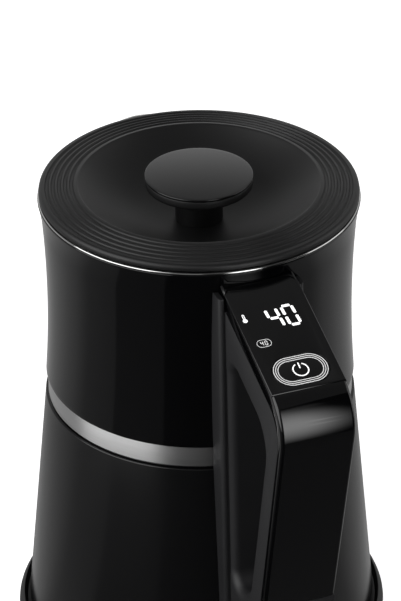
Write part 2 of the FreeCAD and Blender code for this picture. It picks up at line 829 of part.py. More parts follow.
def build_heater():
    plate = cylinder("heater_disc", "Dim.heater_radius", "Dim.heater_wall", "0", "0", HEATER_FOOT)
    node(plate, "heater_plate")
    axis = f"{HEATER_FOOT} - Dim.element_tube - Dim.fit_gap"
    ring = doc.addObject("Part::Torus", "element_ring")
    ring.setExpression("Radius1", "Dim.element_radius")
    ring.setExpression("Radius2", "Dim.element_tube")
    ring.setExpression("Angle3", "Dim.element_sweep")
    place(ring, "0", "0", axis)
    terminals = [cylinder(f"terminal_{name}", "Dim.terminal_radius", "Dim.terminal_length",
                          f"Dim.element_radius * cos({angle})", f"Dim.element_radius * sin({angle})",
                          f"{axis} - Dim.terminal_length")
                 for name, angle in (("near", "Dim.element_tube * 3"),
                                     ("far", "Dim.element_sweep - Dim.element_tube * 3"))]
    element = doc.addObject("Part::MultiFuse", "element")
    element.Shapes = [ring] + terminals
    node(element, "heating_element")
    group("thermal_cutouts", [
        cylinder(f"cutout_{name}", "Dim.cutout_radius", "Dim.cutout_height", f"{sign}Dim.cutout_offset", "0",
                 f"{HEATER_FOOT} - Dim.cutout_height") for name, sign in (("left", "-"), ("right", ""))])


def build_temperature_probe():
    foot = f"{POT_FLOOR} - Dim.probe_tail"
    body = new_body("temperature_probe")
    top = "Dim.probe_tail + Dim.probe_rise"
    revolve(body, [("0", "0"), ("Dim.probe_radius", "0"),
                   ("Dim.probe_radius", top, "Dim.probe_radius * sin(45)", f"{top} + Dim.probe_radius * sin(45)"),
                   ("0", f"{top} + Dim.probe_radius")])
    place(body, "0", "Dim.probe_place", foot)
    node(body, "temperature_probe")
    seal = new_body("probe_seal")
    bore = "Dim.probe_radius"
    neck = "Dim.probe_radius + Dim.probe_seal_wall - Dim.fit_gap / 2"
    flange = f"{neck} + Dim.probe_seal_flange"
    lip = "Dim.probe_seal_wall"
    revolve(seal, [(bore, f"-{lip}"), (flange, f"-{lip}"), (flange, "0"), (neck, "0"), (neck, "Dim.pot_wall"),
                   (flange, "Dim.pot_wall"), (flange, f"Dim.pot_wall + {lip}"), (bore, f"Dim.pot_wall + {lip}")])
    place(seal, "0", "Dim.probe_place", POT_FLOOR)
    node(seal, "probe_seal")


# Handle


def panel_height(x, depth="0"):
    """Height of the panel's sloping plane at a distance from the axis, or of a plane that lies deeper."""
    fall = f"({x} - Dim.panel_reach) * tan(Dim.panel_slope)"
    return f"({LID_EDGE} - Dim.panel_drop - {fall} - ({depth}) / cos(Dim.panel_slope))"


def bend_corner(top_depth="0", grip_depth="0"):
    """The corner where the panel's plane meets the leaning grip, both sunk by their depths."""
    lean = "tan(Dim.grip_lean)"
    sunk = f"(({top_depth}) / cos(Dim.panel_slope) * {lean} + ({grip_depth}) / cos(Dim.grip_lean))"
    x = f"(Dim.handle_corner - {sunk} / (1 + tan(Dim.panel_slope) * {lean}))"
    return x, panel_height(x, top_depth)


def grip_reach(height, depth="0"):
    """How far the grip's outer face stands from the axis at a height."""
    fall = f"({bend_corner()[1]} - ({height}))"
    return f"(Dim.handle_corner - {fall} * tan(Dim.grip_lean) - ({depth}) / cos(Dim.grip_lean))"


def cross_edge(corner):
    """A test for the edge that runs across the handle at a corner of its side view."""
    x, z = number(corner[0]), number(corner[1])

    def passes(edge):
        return all(abs(v.X - x) < 0.01 and abs(v.Z - z) < 0.01 for v in edge.Vertexes)
    return passes


def on_panel(piece, along="0", across="0", lift="0"):
    """Places a piece in the panel's frame: along the slope, across it and square to it."""
    x = f"Dim.panel_reach + ({along}) * cos(Dim.panel_slope) + ({lift}) * sin(Dim.panel_slope)"
    z = f"{LID_EDGE} - Dim.panel_drop - ({along}) * sin(Dim.panel_slope) + ({lift}) * cos(Dim.panel_slope)"
    place(piece, x, across, z)
    turn(piece, FreeCAD.Vector(0, 1, 0), "Dim.panel_slope")
    return piece


def panel_outline(sketch, gap="0"):
    """The panel's outline, with its two corners nearest the body cut off."""
    near = f"-({gap})"
    far = f"Dim.panel_length + ({gap})"
    side = f"(Dim.handle_width / 2 + ({gap}))"
    cut_side = f"({side} - Dim.panel_chamfer)"
    outline(sketch, [
        (near, f"-{cut_side}"),
        (f"Dim.panel_chamfer - ({gap})", f"-{side}"),
        (far, f"-{side}"),
        (far, side),
        (f"Dim.panel_chamfer - ({gap})", side),
        (near, cut_side),
    ])


def key_outline(sketch, gap="0", centre="0"):
    """The power key's oval, which lies across the handle."""
    half = f"(Dim.key_width / 2 + ({gap}))"
    straight = "(Dim.key_length - Dim.key_width) / 2"
    tip = f"({straight} + {half})"
    outline(sketch, [
        (f"{centre} - {half}", f"-{straight}"),
        (f"{centre} - {half}", straight, centre, tip),
        (f"{centre} + {half}", straight),
        (f"{centre} + {half}", f"-{straight}", centre, f"-{tip}"),
    ])


def handle_screw_places():
    """Where the heads of the two handle screws rest inside the body: distance from the axis, and height."""
    low = f"({BODY_FOOT} + Dim.bottom_wall + 2 * Dim.shell_edge_round)"
    share = f"({LOWER_SCREW} - {low}) / ({SHELL_TOP} - 2 * Dim.wall - {low})"
    inside = f"Dim.shell_foot_radius - Dim.wall - (Dim.shell_foot_radius - Dim.shell_top_radius) * {share}"
    return {
        "upper": ("Dim.waist_radius - Dim.wall - Dim.running_gap", f"{LID_EDGE} - Dim.handle_screw_upper"),
        "lower": (f"{inside} - Dim.running_gap", LOWER_SCREW),
    }


def handle_screw_hole(piece, which):
    """A hole along X for one of the screws that hold the handle to the body."""
    x, z = handle_screw_places()[which]
    hole = cylinder(f"{piece}_{which}_hole", "Dim.screw_radius + Dim.fit_gap / 2",
                    "Dim.handle_screw_length + Dim.fit_gap", x, "0", z)
    turn(hole, FreeCAD.Vector(0, 1, 0), "90")
    return hole


def window_size(inset):
    """Length and width of the opening under the panel, within the ledge that the panel lies on."""
    length = f"(Dim.panel_length - Dim.panel_ledge - Dim.panel_end_ledge - 2 * ({inset}))"
    width = f"(Dim.handle_width - 2 * Dim.panel_ledge - 2 * ({inset}))"
    return length, width


def panel_window(name, inset, foot):
    """A box through the top of the handle, under the panel and within its ledge."""
    length, width = window_size(inset)
    window = box(name, length, width, foot)
    return on_panel(window, f"Dim.panel_ledge + ({inset})", f"-{width} / 2", f"-({foot})")


def build_handle_cover(envelope):
    """The gloss outer half: the frame round the panel, the bend and the back of the grip."""
    body = new_body("handle_skin")
    depth = ("Dim.cover_depth_top", "Dim.cover_depth_grip")
    end = f"({LID_EDGE} - Dim.cover_drop)"
    sketch = new_sketch(body, "XZ_Plane")
    outline(sketch, [
        ("Dim.handle_root", panel_height("Dim.handle_root", depth[0])),
        ("Dim.handle_root", panel_height("Dim.handle_root")),
        bend_corner(),
        (grip_reach(end), end),
        (grip_reach(end, depth[1]), end),
        bend_corner(*depth),
    ])
    skin = pad(body, sketch, "Dim.handle_width", both_ways=True)
    skin = fillet(body, skin, cross_edge(bend_corner()), "Dim.handle_bend")
    skin = fillet(body, skin, cross_edge(bend_corner(*depth)), "Dim.cover_inner_bend")

    def is_outer_rim(edge):
        point = middle(edge)
        on_side = abs(abs(point.y) - number("Dim.handle_width / 2")) < 0.01
        above = point.z > number(panel_height(str(point.x), f"{depth[0]} / 2"))
        beyond = point.x > number(grip_reach(str(point.z), f"{depth[1]} / 2"))
        lengthwise = abs(edge.Vertexes[0].Y - edge.Vertexes[-1].Y) < 0.01
        upright = abs(point.x - number("Dim.handle_root")) < 0.01 or abs(point.z - number(end)) < 0.01
        return on_side and lengthwise and (above or beyond) and not upright
    fillet(body, skin, is_outer_rim, "Dim.cover_edge_round")
    recess = new_body("panel_recess")
    sketch = new_sketch(recess, "XY_Plane")
    panel_outline(sketch, "Dim.fit_gap")
    pad(recess, sketch, "2 * Dim.panel_wall")
    on_panel(recess, lift="-Dim.panel_wall")
    window = panel_window("cover_window", "0", "2 * Dim.cover_depth_top")
    node(cut(body, recess, window, envelope), "handle_cover")


def build_handle_inner(envelope):
    """The matt inner half: back plate, arm, inside of the grip and lower arm, round the hand gap."""
    body = new_body("handle_loop")
    depth = ("Dim.cover_depth_top + Dim.seam", "Dim.cover_depth_grip + Dim.seam")
    step = f"({LID_EDGE} - Dim.cover_drop - Dim.seam)"
    outer_foot = (grip_reach(HANDLE_FOOT), HANDLE_FOOT)
    sketch = new_sketch(body, "XZ_Plane")
    outline(sketch, [
        ("Dim.handle_root", panel_height("Dim.handle_root", depth[0])),
        bend_corner(*depth),
        (grip_reach(step, depth[1]), step),
        (grip_reach(step), step),
        outer_foot,
        ("Dim.handle_root", HANDLE_FOOT),
    ])
    loop = pad(body, sketch, "Dim.handle_width", both_ways=True)
    loop = fillet(body, loop, cross_edge(bend_corner(*depth)), "Dim.cover_inner_bend - Dim.seam")
    loop = fillet(body, loop, cross_edge(outer_foot), "Dim.handle_foot_wall")
    gap_top = f"({LID_EDGE} - Dim.hand_gap_drop)"
    gap_fall = "(Dim.hand_gap_corner - Dim.hand_gap_reach) * tan(Dim.panel_slope)"
    top_right = ("Dim.hand_gap_corner", f"({gap_top} - {gap_fall})")
    foot_right = ("Dim.hand_gap_foot_reach + Dim.hand_gap_foot_width", HAND_GAP_FOOT)
    foot_left = ("Dim.hand_gap_foot_reach", HAND_GAP_FOOT)
    gap_corners = [("Dim.hand_gap_reach", gap_top), top_right, foot_right, foot_left]
    sketch = new_sketch(body, "XZ_Plane")
    outline(sketch, gap_corners)
    loop = pad(body, sketch, "2 * Dim.handle_width", both_ways=True, kind="PartDesign::Pocket")
    for corner in (top_right, foot_right):
        loop = fillet(body, loop, cross_edge(corner), "Dim.hand_gap_bend")
    for corner in (gap_corners[0], gap_corners[3]):
        loop = fillet(body, loop, cross_edge(corner), "Dim.hand_gap_round")
    gap_face = Part.Face(Part.makePolygon([FreeCAD.Vector(number(x), 0, number(z))
                                           for x, z in gap_corners + gap_corners[:1]]))

    def is_gap_rim(edge):
        point = middle(edge)
        on_side = abs(abs(point.y) - number("Dim.handle_width / 2")) < 0.01
        seen = Part.Vertex(point.x, 0, point.z)
        return on_side and gap_face.distToShape(seen)[0] < 0.01
    fillet(body, loop, is_gap_rim, "Dim.grip_round")
    whole = doc.addObject("Part::Fuse", "handle_frame")
    whole.Base = body
    whole.Tool = build_back_plate(depth[0])
    board_seat = panel_window("board_seat", "0", "Dim.board_depth + Dim.board_wall")
    cavity = panel_window("handle_cavity", "Dim.cavity_step", "Dim.cavity_depth")
    holes = [handle_screw_hole("handle", which) for which in ("upper", "lower")]
    node(cut(whole, board_seat, cavity, envelope, *holes), "handle_inner")


def build_back_plate(cover_depth):
    """The plate against the body, with a cheek on each side of the cover that reaches up to the panel."""
    plate = new_body("back_plate")
    top = panel_height("Dim.back_plate_reach", "Dim.panel_wall + Dim.seam")
    sketch = new_sketch(plate, "XZ_Plane")
    outline(sketch, [
        ("Dim.handle_root", HANDLE_FOOT),
        ("Dim.back_plate_foot_reach", HANDLE_FOOT),
        ("Dim.back_plate_reach", top),
        ("Dim.handle_root", top),
    ])
    slab = pad(plate, sketch, "Dim.back_plate_width", both_ways=True)

    def is_outer_edge(edge):
        point = middle(edge)
        on_side = abs(abs(point.y) - number("Dim.back_plate_width / 2")) < 0.01
        return on_side and point.x > number("Dim.back_plate_reach")
    fillet(plate, slab, is_outer_edge, "Dim.back_plate_round")
    space = new_body("cover_space")
    sketch = new_sketch(space, "XZ_Plane")
    outline(sketch, [
        ("Dim.handle_root", panel_height("Dim.handle_root", cover_depth)),
        ("Dim.handle_root", LID_EDGE),
        ("Dim.handle_corner", LID_EDGE),
        ("Dim.handle_corner", panel_height("Dim.handle_corner", cover_depth)),
    ])
    pad(space, sketch, "Dim.handle_width + 2 * Dim.seam", both_ways=True)
    return cut(plate, space)


def build_handle_screws():
    """Two screws, put in from inside the body before the pot."""
    group("handle_screws", [
        screw(f"handle_screw_{which}", "Dim.handle_screw_length", x, "0", z, FreeCAD.Vector(0, 1, 0), "90")
        for which, (x, z) in handle_screw_places().items()])


# Panel and what lies under it


def build_control_panel():
    body = new_body("control_panel")
    sketch = new_sketch(body, "XY_Plane")
    panel_outline(sketch)
    key_outline(sketch, "Dim.key_gap", "Dim.key_place")
    plate = pad(body, sketch, "Dim.panel_wall", backward=True)

    def is_outer_edge(edge):
        point = middle(edge)
        near_key = abs(point.y) < number("Dim.key_length / 2 + 2 * Dim.key_gap")
        inside = 0.01 < point.x < number("Dim.panel_length") - 0.01
        return abs(point.z) < 0.01 and not (near_key and inside)
    fillet(body, plate, is_outer_edge, "Dim.panel_round")
    node(on_panel(body), "control_panel")


def build_power_key():
    """A push key with a short stem that reaches for the switch."""
    body = new_body("power_key")
    sketch = new_sketch(body, "XY_Plane")
    key_outline(sketch)
    pad(body, sketch, "Dim.panel_wall", backward=True)
    sketch = new_sketch(body, "XY_Plane", "-Dim.key_stem_length")
    circle(sketch, "0", "0", "Dim.key_stem_radius")
    pad(body, sketch, "Dim.key_stem_length - Dim.panel_wall / 2")
    node(on_panel(body, "Dim.key_place"), "power_key")


def build_electronics():
    """Control board on its ledge, with the display and the key's switch on top of it."""
    inset = "Dim.fit_gap"
    length, width = window_size(inset)
    board = box("board", length, width, "Dim.board_wall")
    on_panel(board, f"Dim.panel_ledge + {inset}", f"-{width} / 2", "-Dim.board_depth - Dim.board_wall")
    node(board, "control_board")
    display = box("display", "Dim.display_length", "Dim.display_width", "Dim.board_depth - Dim.panel_wall")
    on_panel(display, "Dim.display_place - Dim.display_length / 2", "-Dim.display_width / 2", "-Dim.board_depth")
    node(display, "display_module")
    switch = box("switch", "Dim.switch_side", "Dim.switch_side",
                 "Dim.board_depth - Dim.key_stem_length - Dim.key_travel - Dim.fit_gap")
    on_panel(switch, "Dim.key_place - Dim.switch_side / 2", "-Dim.switch_side / 2", "-Dim.board_depth")
    node(switch, "key_switch")


# Lid


def above(height):
    """A height measured up from the lid's lower edge."""
    return f"({LID_EDGE} + {height})"


def below(drop):
    """A height measured down from the lid's lower edge."""
    return f"({LID_EDGE} - ({drop}))"


def build_lid_top():
    """The dished cover with rings round its edge, a seat, and a plug that enters the pot."""
    body = new_body("lid_cover")
    bore = "Dim.screw_radius + Dim.fit_gap"
    crown_end = f"(Dim.lid_ring_start + Dim.lid_ring_pitch * {LID_RINGS - 1} + Dim.lid_ring_end)"
    edge_top = above("Dim.lid_crown - Dim.lid_fall")
    under = above("Dim.lid_crown - Dim.lid_fall / 2 - Dim.lid_wall")
    plug_inner = "Dim.plug_outer - Dim.plug_wall"
    seat_inner = "Dim.lid_seat_reach - Dim.lid_seat_width"
    groove = "Dim.plug_outer - Dim.seal_depth"
    boss = "Dim.knob_stem_radius + 0.15 * Dim.lid_wall"
    revolve(body, [
        (bore, below("Dim.dish_depth")),
        ("Dim.knob_stem_radius", below("Dim.dish_depth"), "Dim.dish_middle_radius", below("Dim.dish_middle")),
        ("Dim.dish_radius", above("Dim.lid_crown")),
        (crown_end, edge_top, f"{crown_end} + 0.8 * (Dim.lid_radius - {crown_end})",
         above("0.35 * Dim.lid_edge + 0.65 * (Dim.lid_crown - Dim.lid_fall)")),
        ("Dim.lid_radius", above("Dim.lid_edge")),
        ("Dim.lid_radius", LID_EDGE),
        ("Dim.lid_seat_reach", LID_EDGE),
        ("Dim.lid_seat_reach", below("Dim.lid_seat_drop")),
        (seat_inner, below("Dim.lid_seat_drop")),
        (seat_inner, LID_EDGE),
        ("Dim.plug_outer", LID_EDGE),
        ("Dim.plug_outer", below("Dim.seal_drop - Dim.seal_height")),
        (groove, below("Dim.seal_drop - Dim.seal_height")),
        (groove, below("Dim.seal_drop")),
        ("Dim.plug_outer", below("Dim.seal_drop")),
        ("Dim.plug_outer", below("Dim.plug_drop")),
        (plug_inner, below("Dim.plug_drop")),
        (plug_inner, under),
        ("Dim.dish_radius + 0.6 * Dim.lid_wall", under, "Dim.dish_middle_radius + 0.4 * Dim.lid_wall",
         below("Dim.dish_middle + 0.93 * Dim.lid_wall")),
        (boss, below("Dim.dish_depth + Dim.lid_wall")),
        (boss, below("Dim.plug_drop")),
        (bore, below("Dim.plug_drop")),
    ])
    sketch = new_sketch(body, "XZ_Plane")
    for ring in range(LID_RINGS - 1):
        radius = f"(Dim.lid_ring_start + Dim.lid_ring_pitch * {ring + 0.5})"
        fall = f"Dim.lid_fall * ({radius} - Dim.dish_radius) / ({crown_end} - Dim.dish_radius)"
        circle(sketch, radius, above(f"Dim.lid_crown - {fall} + Dim.lid_ring_cut - Dim.lid_ring_depth"),
               "Dim.lid_ring_cut")
    cutter = body.newObject("PartDesign::Groove", "lid_rings")
    cutter.Profile = sketch
    cutter.ReferenceAxis = (sketch, ["V_Axis"])
    cutter.Angle = 360
    node(body, "lid_top")


def build_lid_liner():
    body = new_body("lid_liner")
    bore = "Dim.screw_radius + Dim.fit_gap"
    foot = below("Dim.plug_drop + Dim.liner_wall")
    revolve(body, [(bore, foot), ("Dim.plug_outer - Dim.liner_wall", foot),
                   ("Dim.plug_outer", below("Dim.plug_drop")), (bore, below("Dim.plug_drop"))])
    node(body, "lid_liner")


def build_lid_seal():
    """A silicone ring with two lips."""
    body = new_body("lid_seal")
    inner = "Dim.plug_outer - Dim.seal_depth + Dim.fit_gap"
    foot = below("Dim.seal_drop - Dim.fit_gap")
    top = below("Dim.seal_drop - Dim.seal_height + Dim.fit_gap")
    revolve(body, [
        (inner, foot),
        ("Dim.plug_outer", foot),
        ("Dim.seal_reach", below("Dim.seal_drop - 0.3 * Dim.seal_height")),
        ("Dim.plug_outer", below("Dim.seal_drop - 0.5 * Dim.seal_height")),
        ("Dim.seal_reach", below("Dim.seal_drop - 0.7 * Dim.seal_height")),
        ("Dim.plug_outer", top),
        (inner, top),
    ])
    node(body, "lid_seal")


def build_lid_knob():
    """A round finger plate on a stem, with a recess for its cap."""
    body = new_body("lid_knob")
    tip = below("Dim.plug_drop + Dim.liner_wall - Dim.knob_screw_length - Dim.running_gap")
    foot = "(Dim.knob_top - Dim.knob_edge_height)"
    rounding = "Dim.knob_edge_round"
    floor = above("Dim.knob_top - Dim.cap_wall")
    recess = "Dim.cap_radius + 2 * Dim.fit_gap"
    slack = "(1 - sin(45))"
    revolve(body, [
        ("Dim.screw_radius", below("Dim.dish_depth")),
        ("Dim.knob_stem_radius", below("Dim.dish_depth")),
        ("Dim.knob_stem_radius", above(f"{foot} - Dim.knob_throat"),
         f"Dim.knob_stem_radius + Dim.knob_throat * {slack}", above(f"{foot} - Dim.knob_throat * {slack}")),
        ("Dim.knob_stem_radius + Dim.knob_throat", above(foot)),
        (f"Dim.knob_radius - {rounding}", above(foot), f"Dim.knob_radius - {rounding} * {slack}",
         above(f"{foot} + {rounding} * {slack}")),
        ("Dim.knob_radius", above(f"{foot} + {rounding}")),
        ("Dim.knob_radius", above("Dim.knob_top - (Dim.knob_radius - Dim.cap_radius) / 2")),
        ("Dim.knob_radius - (Dim.knob_radius - Dim.cap_radius) / 2", above("Dim.knob_top")),
        (recess, above("Dim.knob_top")),
        (recess, floor),
        ("0", floor),
        ("0", tip),
        ("Dim.screw_radius", tip),
    ])
    node(body, "lid_knob")


def build_knob_cap():
    body = new_body("knob_cap")
    foot = above("Dim.knob_top - Dim.cap_wall")
    revolve(body, [
        ("0", foot),
        ("Dim.cap_radius", foot),
        ("Dim.cap_radius", above("Dim.knob_top"), "Dim.cap_radius / 2",
         above("Dim.knob_top + 0.75 * Dim.cap_dome")),
        ("Dim.cap_radius / 10", above("Dim.knob_top + Dim.cap_dome")),
        ("0", above("Dim.knob_top + Dim.cap_dome")),
    ])
    node(body, "knob_cap")


def build_knob_screw():
    node(screw("knob_screw", "Dim.knob_screw_length", "0", "0", below("Dim.plug_drop + Dim.liner_wall")),
         "knob_screw")


def build_all():
    build_base_foot()
    build_base_plate()
    build_base_cover()
    build_cord_gland()
    build_base_connector()
    build_base_contacts()
    build_base_screws()
    build_connector_socket()
    build_socket_contacts()
    build_bottom_cover()
    build_bottom_screws()
    build_lower_shell()
    build_steel_band()
    build_upper_collar()
    build_rim_ring()
    build_inner_pot()
    build_spout_strainer()
    build_heater()
    build_temperature_probe()
    envelope = build_body_envelope()
    build_spout_lip(envelope)
    build_handle_cover(envelope)
    build_handle_inner(envelope)
    build_handle_screws()
    build_control_panel()
    build_power_key()
    build_electronics()
    build_lid_top()
    build_lid_liner()
    build_lid_seal()
    build_lid_knob()
    build_knob_cap()
    build_knob_screw()
    doc.recompute()


def check():
    """Stops with a message if any feature failed or any piece isn't a whole solid."""
    failed = [item.Label for item in doc.Objects if {"Invalid", "Error"} & set(item.State)]
    bad = [piece.Label for piece in nodes
           if piece.Shape.isNull() or not piece.Shape.isValid() or not piece.Shape.Solids]
    if failed or bad:
        raise RuntimeError(f"failed features {failed}, bad pieces {bad}")


def write():
    os.makedirs("parts", exist_ok=True)
    for piece in nodes:
        piece.Shape.exportStep(f"parts/{piece.Label}.step")
        print(piece.Label, len(piece.Shape.Solids), round(piece.Shape.Volume))


build_all()
check()
write()
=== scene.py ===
"""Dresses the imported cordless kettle: turned shells, a looped handle with a lit panel, studio and camera.

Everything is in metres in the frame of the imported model: +Z up, the handle along +X, the spout along -X.
"""
import math

import bpy
from mathutils import Matrix, Vector


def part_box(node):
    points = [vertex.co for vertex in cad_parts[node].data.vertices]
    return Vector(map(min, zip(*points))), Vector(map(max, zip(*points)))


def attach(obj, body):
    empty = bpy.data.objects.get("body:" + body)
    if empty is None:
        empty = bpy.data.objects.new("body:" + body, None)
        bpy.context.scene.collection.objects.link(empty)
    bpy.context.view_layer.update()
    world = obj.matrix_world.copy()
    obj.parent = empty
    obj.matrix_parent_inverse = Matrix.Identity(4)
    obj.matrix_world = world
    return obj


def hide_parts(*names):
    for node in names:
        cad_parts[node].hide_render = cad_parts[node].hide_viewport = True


bl_info = {
    "name": "Cordless kettle",
    "version": (1, 0, 0),
    "blender": (4, 5, 0),
    "location": "View3D > Sidebar > Kettle",
    "description": "Builds the finished surfaces of a cordless electric kettle round its packed frame",
    "category": "Object",
}

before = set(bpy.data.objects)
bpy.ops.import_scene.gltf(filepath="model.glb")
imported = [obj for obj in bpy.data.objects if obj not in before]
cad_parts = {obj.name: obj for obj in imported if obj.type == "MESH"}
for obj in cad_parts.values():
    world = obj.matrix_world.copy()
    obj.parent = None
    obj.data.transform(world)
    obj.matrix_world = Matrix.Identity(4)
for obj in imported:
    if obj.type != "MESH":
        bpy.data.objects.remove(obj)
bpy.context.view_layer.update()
MM = 0.001
# Steps of the full turn on every spun piece
SEGMENTS = 192
# Points closer than this are welded
WELD = 0.001 * MM
# Thickness of a lit or printed mark
MARK_THICKNESS = 0.04 * MM
# Smallest distance that counts as off the middle of a mark
TINY = 1e-6
# Steps across a rounded edge, the bend from which an edge is rounded, and up to which it looks smooth
EDGE_STEPS = 3
EDGE_BEND = math.radians(35)
SMOOTH_BEND = math.radians(30)


def linear(code):
    """An sRGB hex colour as linear red, green, blue and alpha."""
    parts = [int(code[i:i + 2], 16) / 255 for i in (1, 3, 5)]
    return [c / 12.92 if c <= 0.04045 else ((c + 0.055) / 1.055) ** 2.4 for c in parts] + [1.0]


def length(label, millimetres, description):
    return bpy.props.FloatProperty(name=label, description=description, default=millimetres * MM,
                                   unit="LENGTH")


def colour(label, code, description):
    return bpy.props.FloatVectorProperty(name=label, description=description, default=linear(code), size=4,
                                         subtype="COLOR", min=0.0, max=1.0)


class KettleBodySizes(bpy.types.PropertyGroup):
    lid_edge: length("Lid edge height", 218.0, "Height of the lid's lower edge above the table")
    rim_drop: length("Rim drop", 2.2, "How far the collar's top edge lies below the lid's edge")
    rim_radius: length("Rim radius", 65.6, "Radius of the collar's top edge")
    ring_radius: length("Rim ring radius", 65.4, "Outer radius of the bright ring under the lid")
    ring_height: length("Rim ring height", 0.95, "Height of the bright bead that shows under the lid")
    flare_radius: length("Flare radius", 63.9, "Radius where the collar starts to flare to its rim")
    flare_drop: length("Flare drop", 13.5, "Depth below the lid's edge where the flare starts")
    waist_radius: length("Waist radius", 62.75, "Radius of the collar's waist")
    waist_drop: length("Waist drop", 47.0, "Depth of the waist below the lid's edge")
    collar_radius: length("Collar foot radius", 64.2, "Radius of the collar's foot")
    collar_drop: length("Collar height", 83.3, "Depth of the collar's foot below the lid's edge")
    band_radius: length("Band radius", 63.5, "Outer radius of the steel band")
    band_height: length("Band height", 9.4, "Height of the steel band")
    band_gap: length("Band gap", 0.9, "Shadow gap under the steel band")
    shell_top: length("Shell top radius", 64.6, "Radius of the lower shell's top edge")
    shell_foot: length("Shell foot radius", 74.4, "Radius of the lower shell's foot")
    wall: length("Wall", 2.4, "Thickness of the moulded walls")


class KettleLidSizes(bpy.types.PropertyGroup):
    radius: length("Lid radius", 65.0, "Outer radius of the lid")
    skirt: length("Lid skirt", 0.5, "How far the lid's outer wall reaches below its edge")
    crown: length("Crown", 3.6, "Height of the ringed border above the lid's edge")
    fall: length("Border fall", 1.5, "How far the ringed border falls towards the lid's edge")
    ring_start: length("First ring", 50.4, "Radius of the innermost ring")
    ring_pitch: length("Ring pitch", 2.5, "Distance from ring to ring")
    ring_depth: length("Ring depth", 0.7, "Depth of the grooves between the rings")
    dish_radius: length("Dish radius", 49.2, "Radius of the dish in the lid")
    dish_depth: length("Dish depth", 13.0, "Depth of the dish below the lid's edge")
    stem_radius: length("Stem radius", 9.7, "Radius of the knob's stem")
    knob_radius: length("Knob radius", 22.0, "Radius of the knob's finger plate")
    knob_top: length("Knob top", 5.8, "Height of the finger plate's upper edge above the lid's edge")
    knob_edge: length("Knob edge", 3.7, "Height of the finger plate's side wall")
    cap_groove: length("Cap groove", 0.45, "Height and depth of the groove under the knob's cap")
    cap_edge: length("Cap edge", 0.65, "Height of the cap's rounded side above the groove")
    cap_dome: length("Cap dome", 0.8, "Rise of the cap from its edge to its middle")


class KettlePanelSizes(bpy.types.PropertyGroup):
    reach: length("Panel reach", 65.0, "Distance of the panel's upper edge from the kettle's axis")
    drop: length("Panel drop", 7.5, "Depth of the panel's upper edge below the lid's edge")
    slope: bpy.props.FloatProperty(name="Panel slope", description="Fall of the panel away from the body",
                                   default=math.radians(19.0), subtype="ANGLE")
    digit_place: length("Digit place", 19.2, "Distance of the digits from the panel's upper edge")
    digit_height: length("Digit height", 11.0, "Height of the lit digits")
    key_place: length("Key place", 46.0, "Distance of the key's middle from the panel's upper edge")
    key_length: length("Key length", 22.0, "Length of the outer lit oval on the key")
    key_width: length("Key width", 13.8, "Width of the outer lit oval on the key")


class KettleColours(bpy.types.PropertyGroup):
    satin_black: colour("Satin black", "#0A0A0B", "Moulded lid, knob, lower shell and base")
    gloss_black: colour("Gloss black", "#040405", "Collar and handle cover")
    grip_grey: colour("Grip grey", "#1A1A1C", "Inner half of the handle")
    panel_black: colour("Panel black", "#060607", "Control panel and key")
    steel: colour("Steel", "#D6D6D6", "Band, pot and lid liner")
    bright_steel: colour("Bright steel", "#DEDEDD", "Rim ring and spout")
    mark_white: colour("Mark white", "#FFFFFF", "Lit digits and printed lines")


def deselect_all():
    """Clears the selection, because an operator acts on all that is selected."""
    if bpy.context.object and bpy.context.object.mode != "OBJECT":
        bpy.ops.object.mode_set(mode="OBJECT")
    bpy.ops.object.select_all(action="DESELECT")


def activate(piece):
    """Makes a piece the only one selected, and the active one."""
    deselect_all()
    piece.select_set(True)
    bpy.context.view_layer.objects.active = piece


def arc(start, via, end, steps):
    """Points on the circle through three points, from the start up to but not including the end."""
    (ax, ay), (bx, by), (cx, cy) = start, via, end
    spread = 2 * (ax * (by - cy) + bx * (cy - ay) + cx * (ay - by))
    a, b, c = ax * ax + ay * ay, bx * bx + by * by, cx * cx + cy * cy
    x = (a * (by - cy) + b * (cy - ay) + c * (ay - by)) / spread
    y = (a * (cx - bx) + b * (ax - cx) + c * (bx - ax)) / spread
    first = math.atan2(ay - y, ax - x)
    sweep = math.remainder(math.atan2(cy - y, cx - x) - first, math.tau)
    radius = math.hypot(ax - x, ay - y)
    turns = [first + sweep * i / steps for i in range(steps)]
    return [(x + radius * math.cos(t), y + radius * math.sin(t)) for t in turns]


def quarter(start, corner, end, steps):
    """Points on the quarter round that joins two lines which would meet square at a corner."""
    slack = 1 - math.sin(math.radians(45))
    via = [c + slack * (s - c + e - c) for s, c, e in zip(start, corner, end)]
    return arc(start, via, end, steps)


def first_point(name, place):
    """A new drawing of one point, left in edit mode with the point selected."""
    deselect_all()
    bpy.ops.mesh.primitive_plane_add(size=MM)
    piece = bpy.context.object
    piece.name = name
    bpy.ops.object.mode_set(mode="EDIT")
    bpy.ops.mesh.select_all(action="SELECT")
    bpy.ops.mesh.merge(type="CENTER")
    bpy.ops.transform.translate(value=place)
    return piece


def lathe(name, section, edge):
    """Draws a closed half section point by point, spins it about the kettle's axis and rounds its edges."""
    points = [Vector((radius, 0, height)) for radius, height in section]
    piece = first_point(name, points[0])
    for place, point in zip(points, points[1:] + points[:1]):
        bpy.ops.mesh.extrude_vertices_move(TRANSFORM_OT_translate={"value": point - place})
    bpy.ops.mesh.select_all(action="SELECT")
    bpy.ops.mesh.remove_doubles(threshold=WELD)
    bpy.ops.mesh.spin(steps=SEGMENTS, angle=math.tau, center=(0, 0, 0), axis=(0, 0, 1))
    bpy.ops.mesh.select_all(action="SELECT")
    bpy.ops.mesh.remove_doubles(threshold=WELD)
    bpy.ops.mesh.normals_make_consistent(inside=False)
    bpy.ops.object.mode_set(mode="OBJECT")
    round_edges(piece, edge)
    return piece


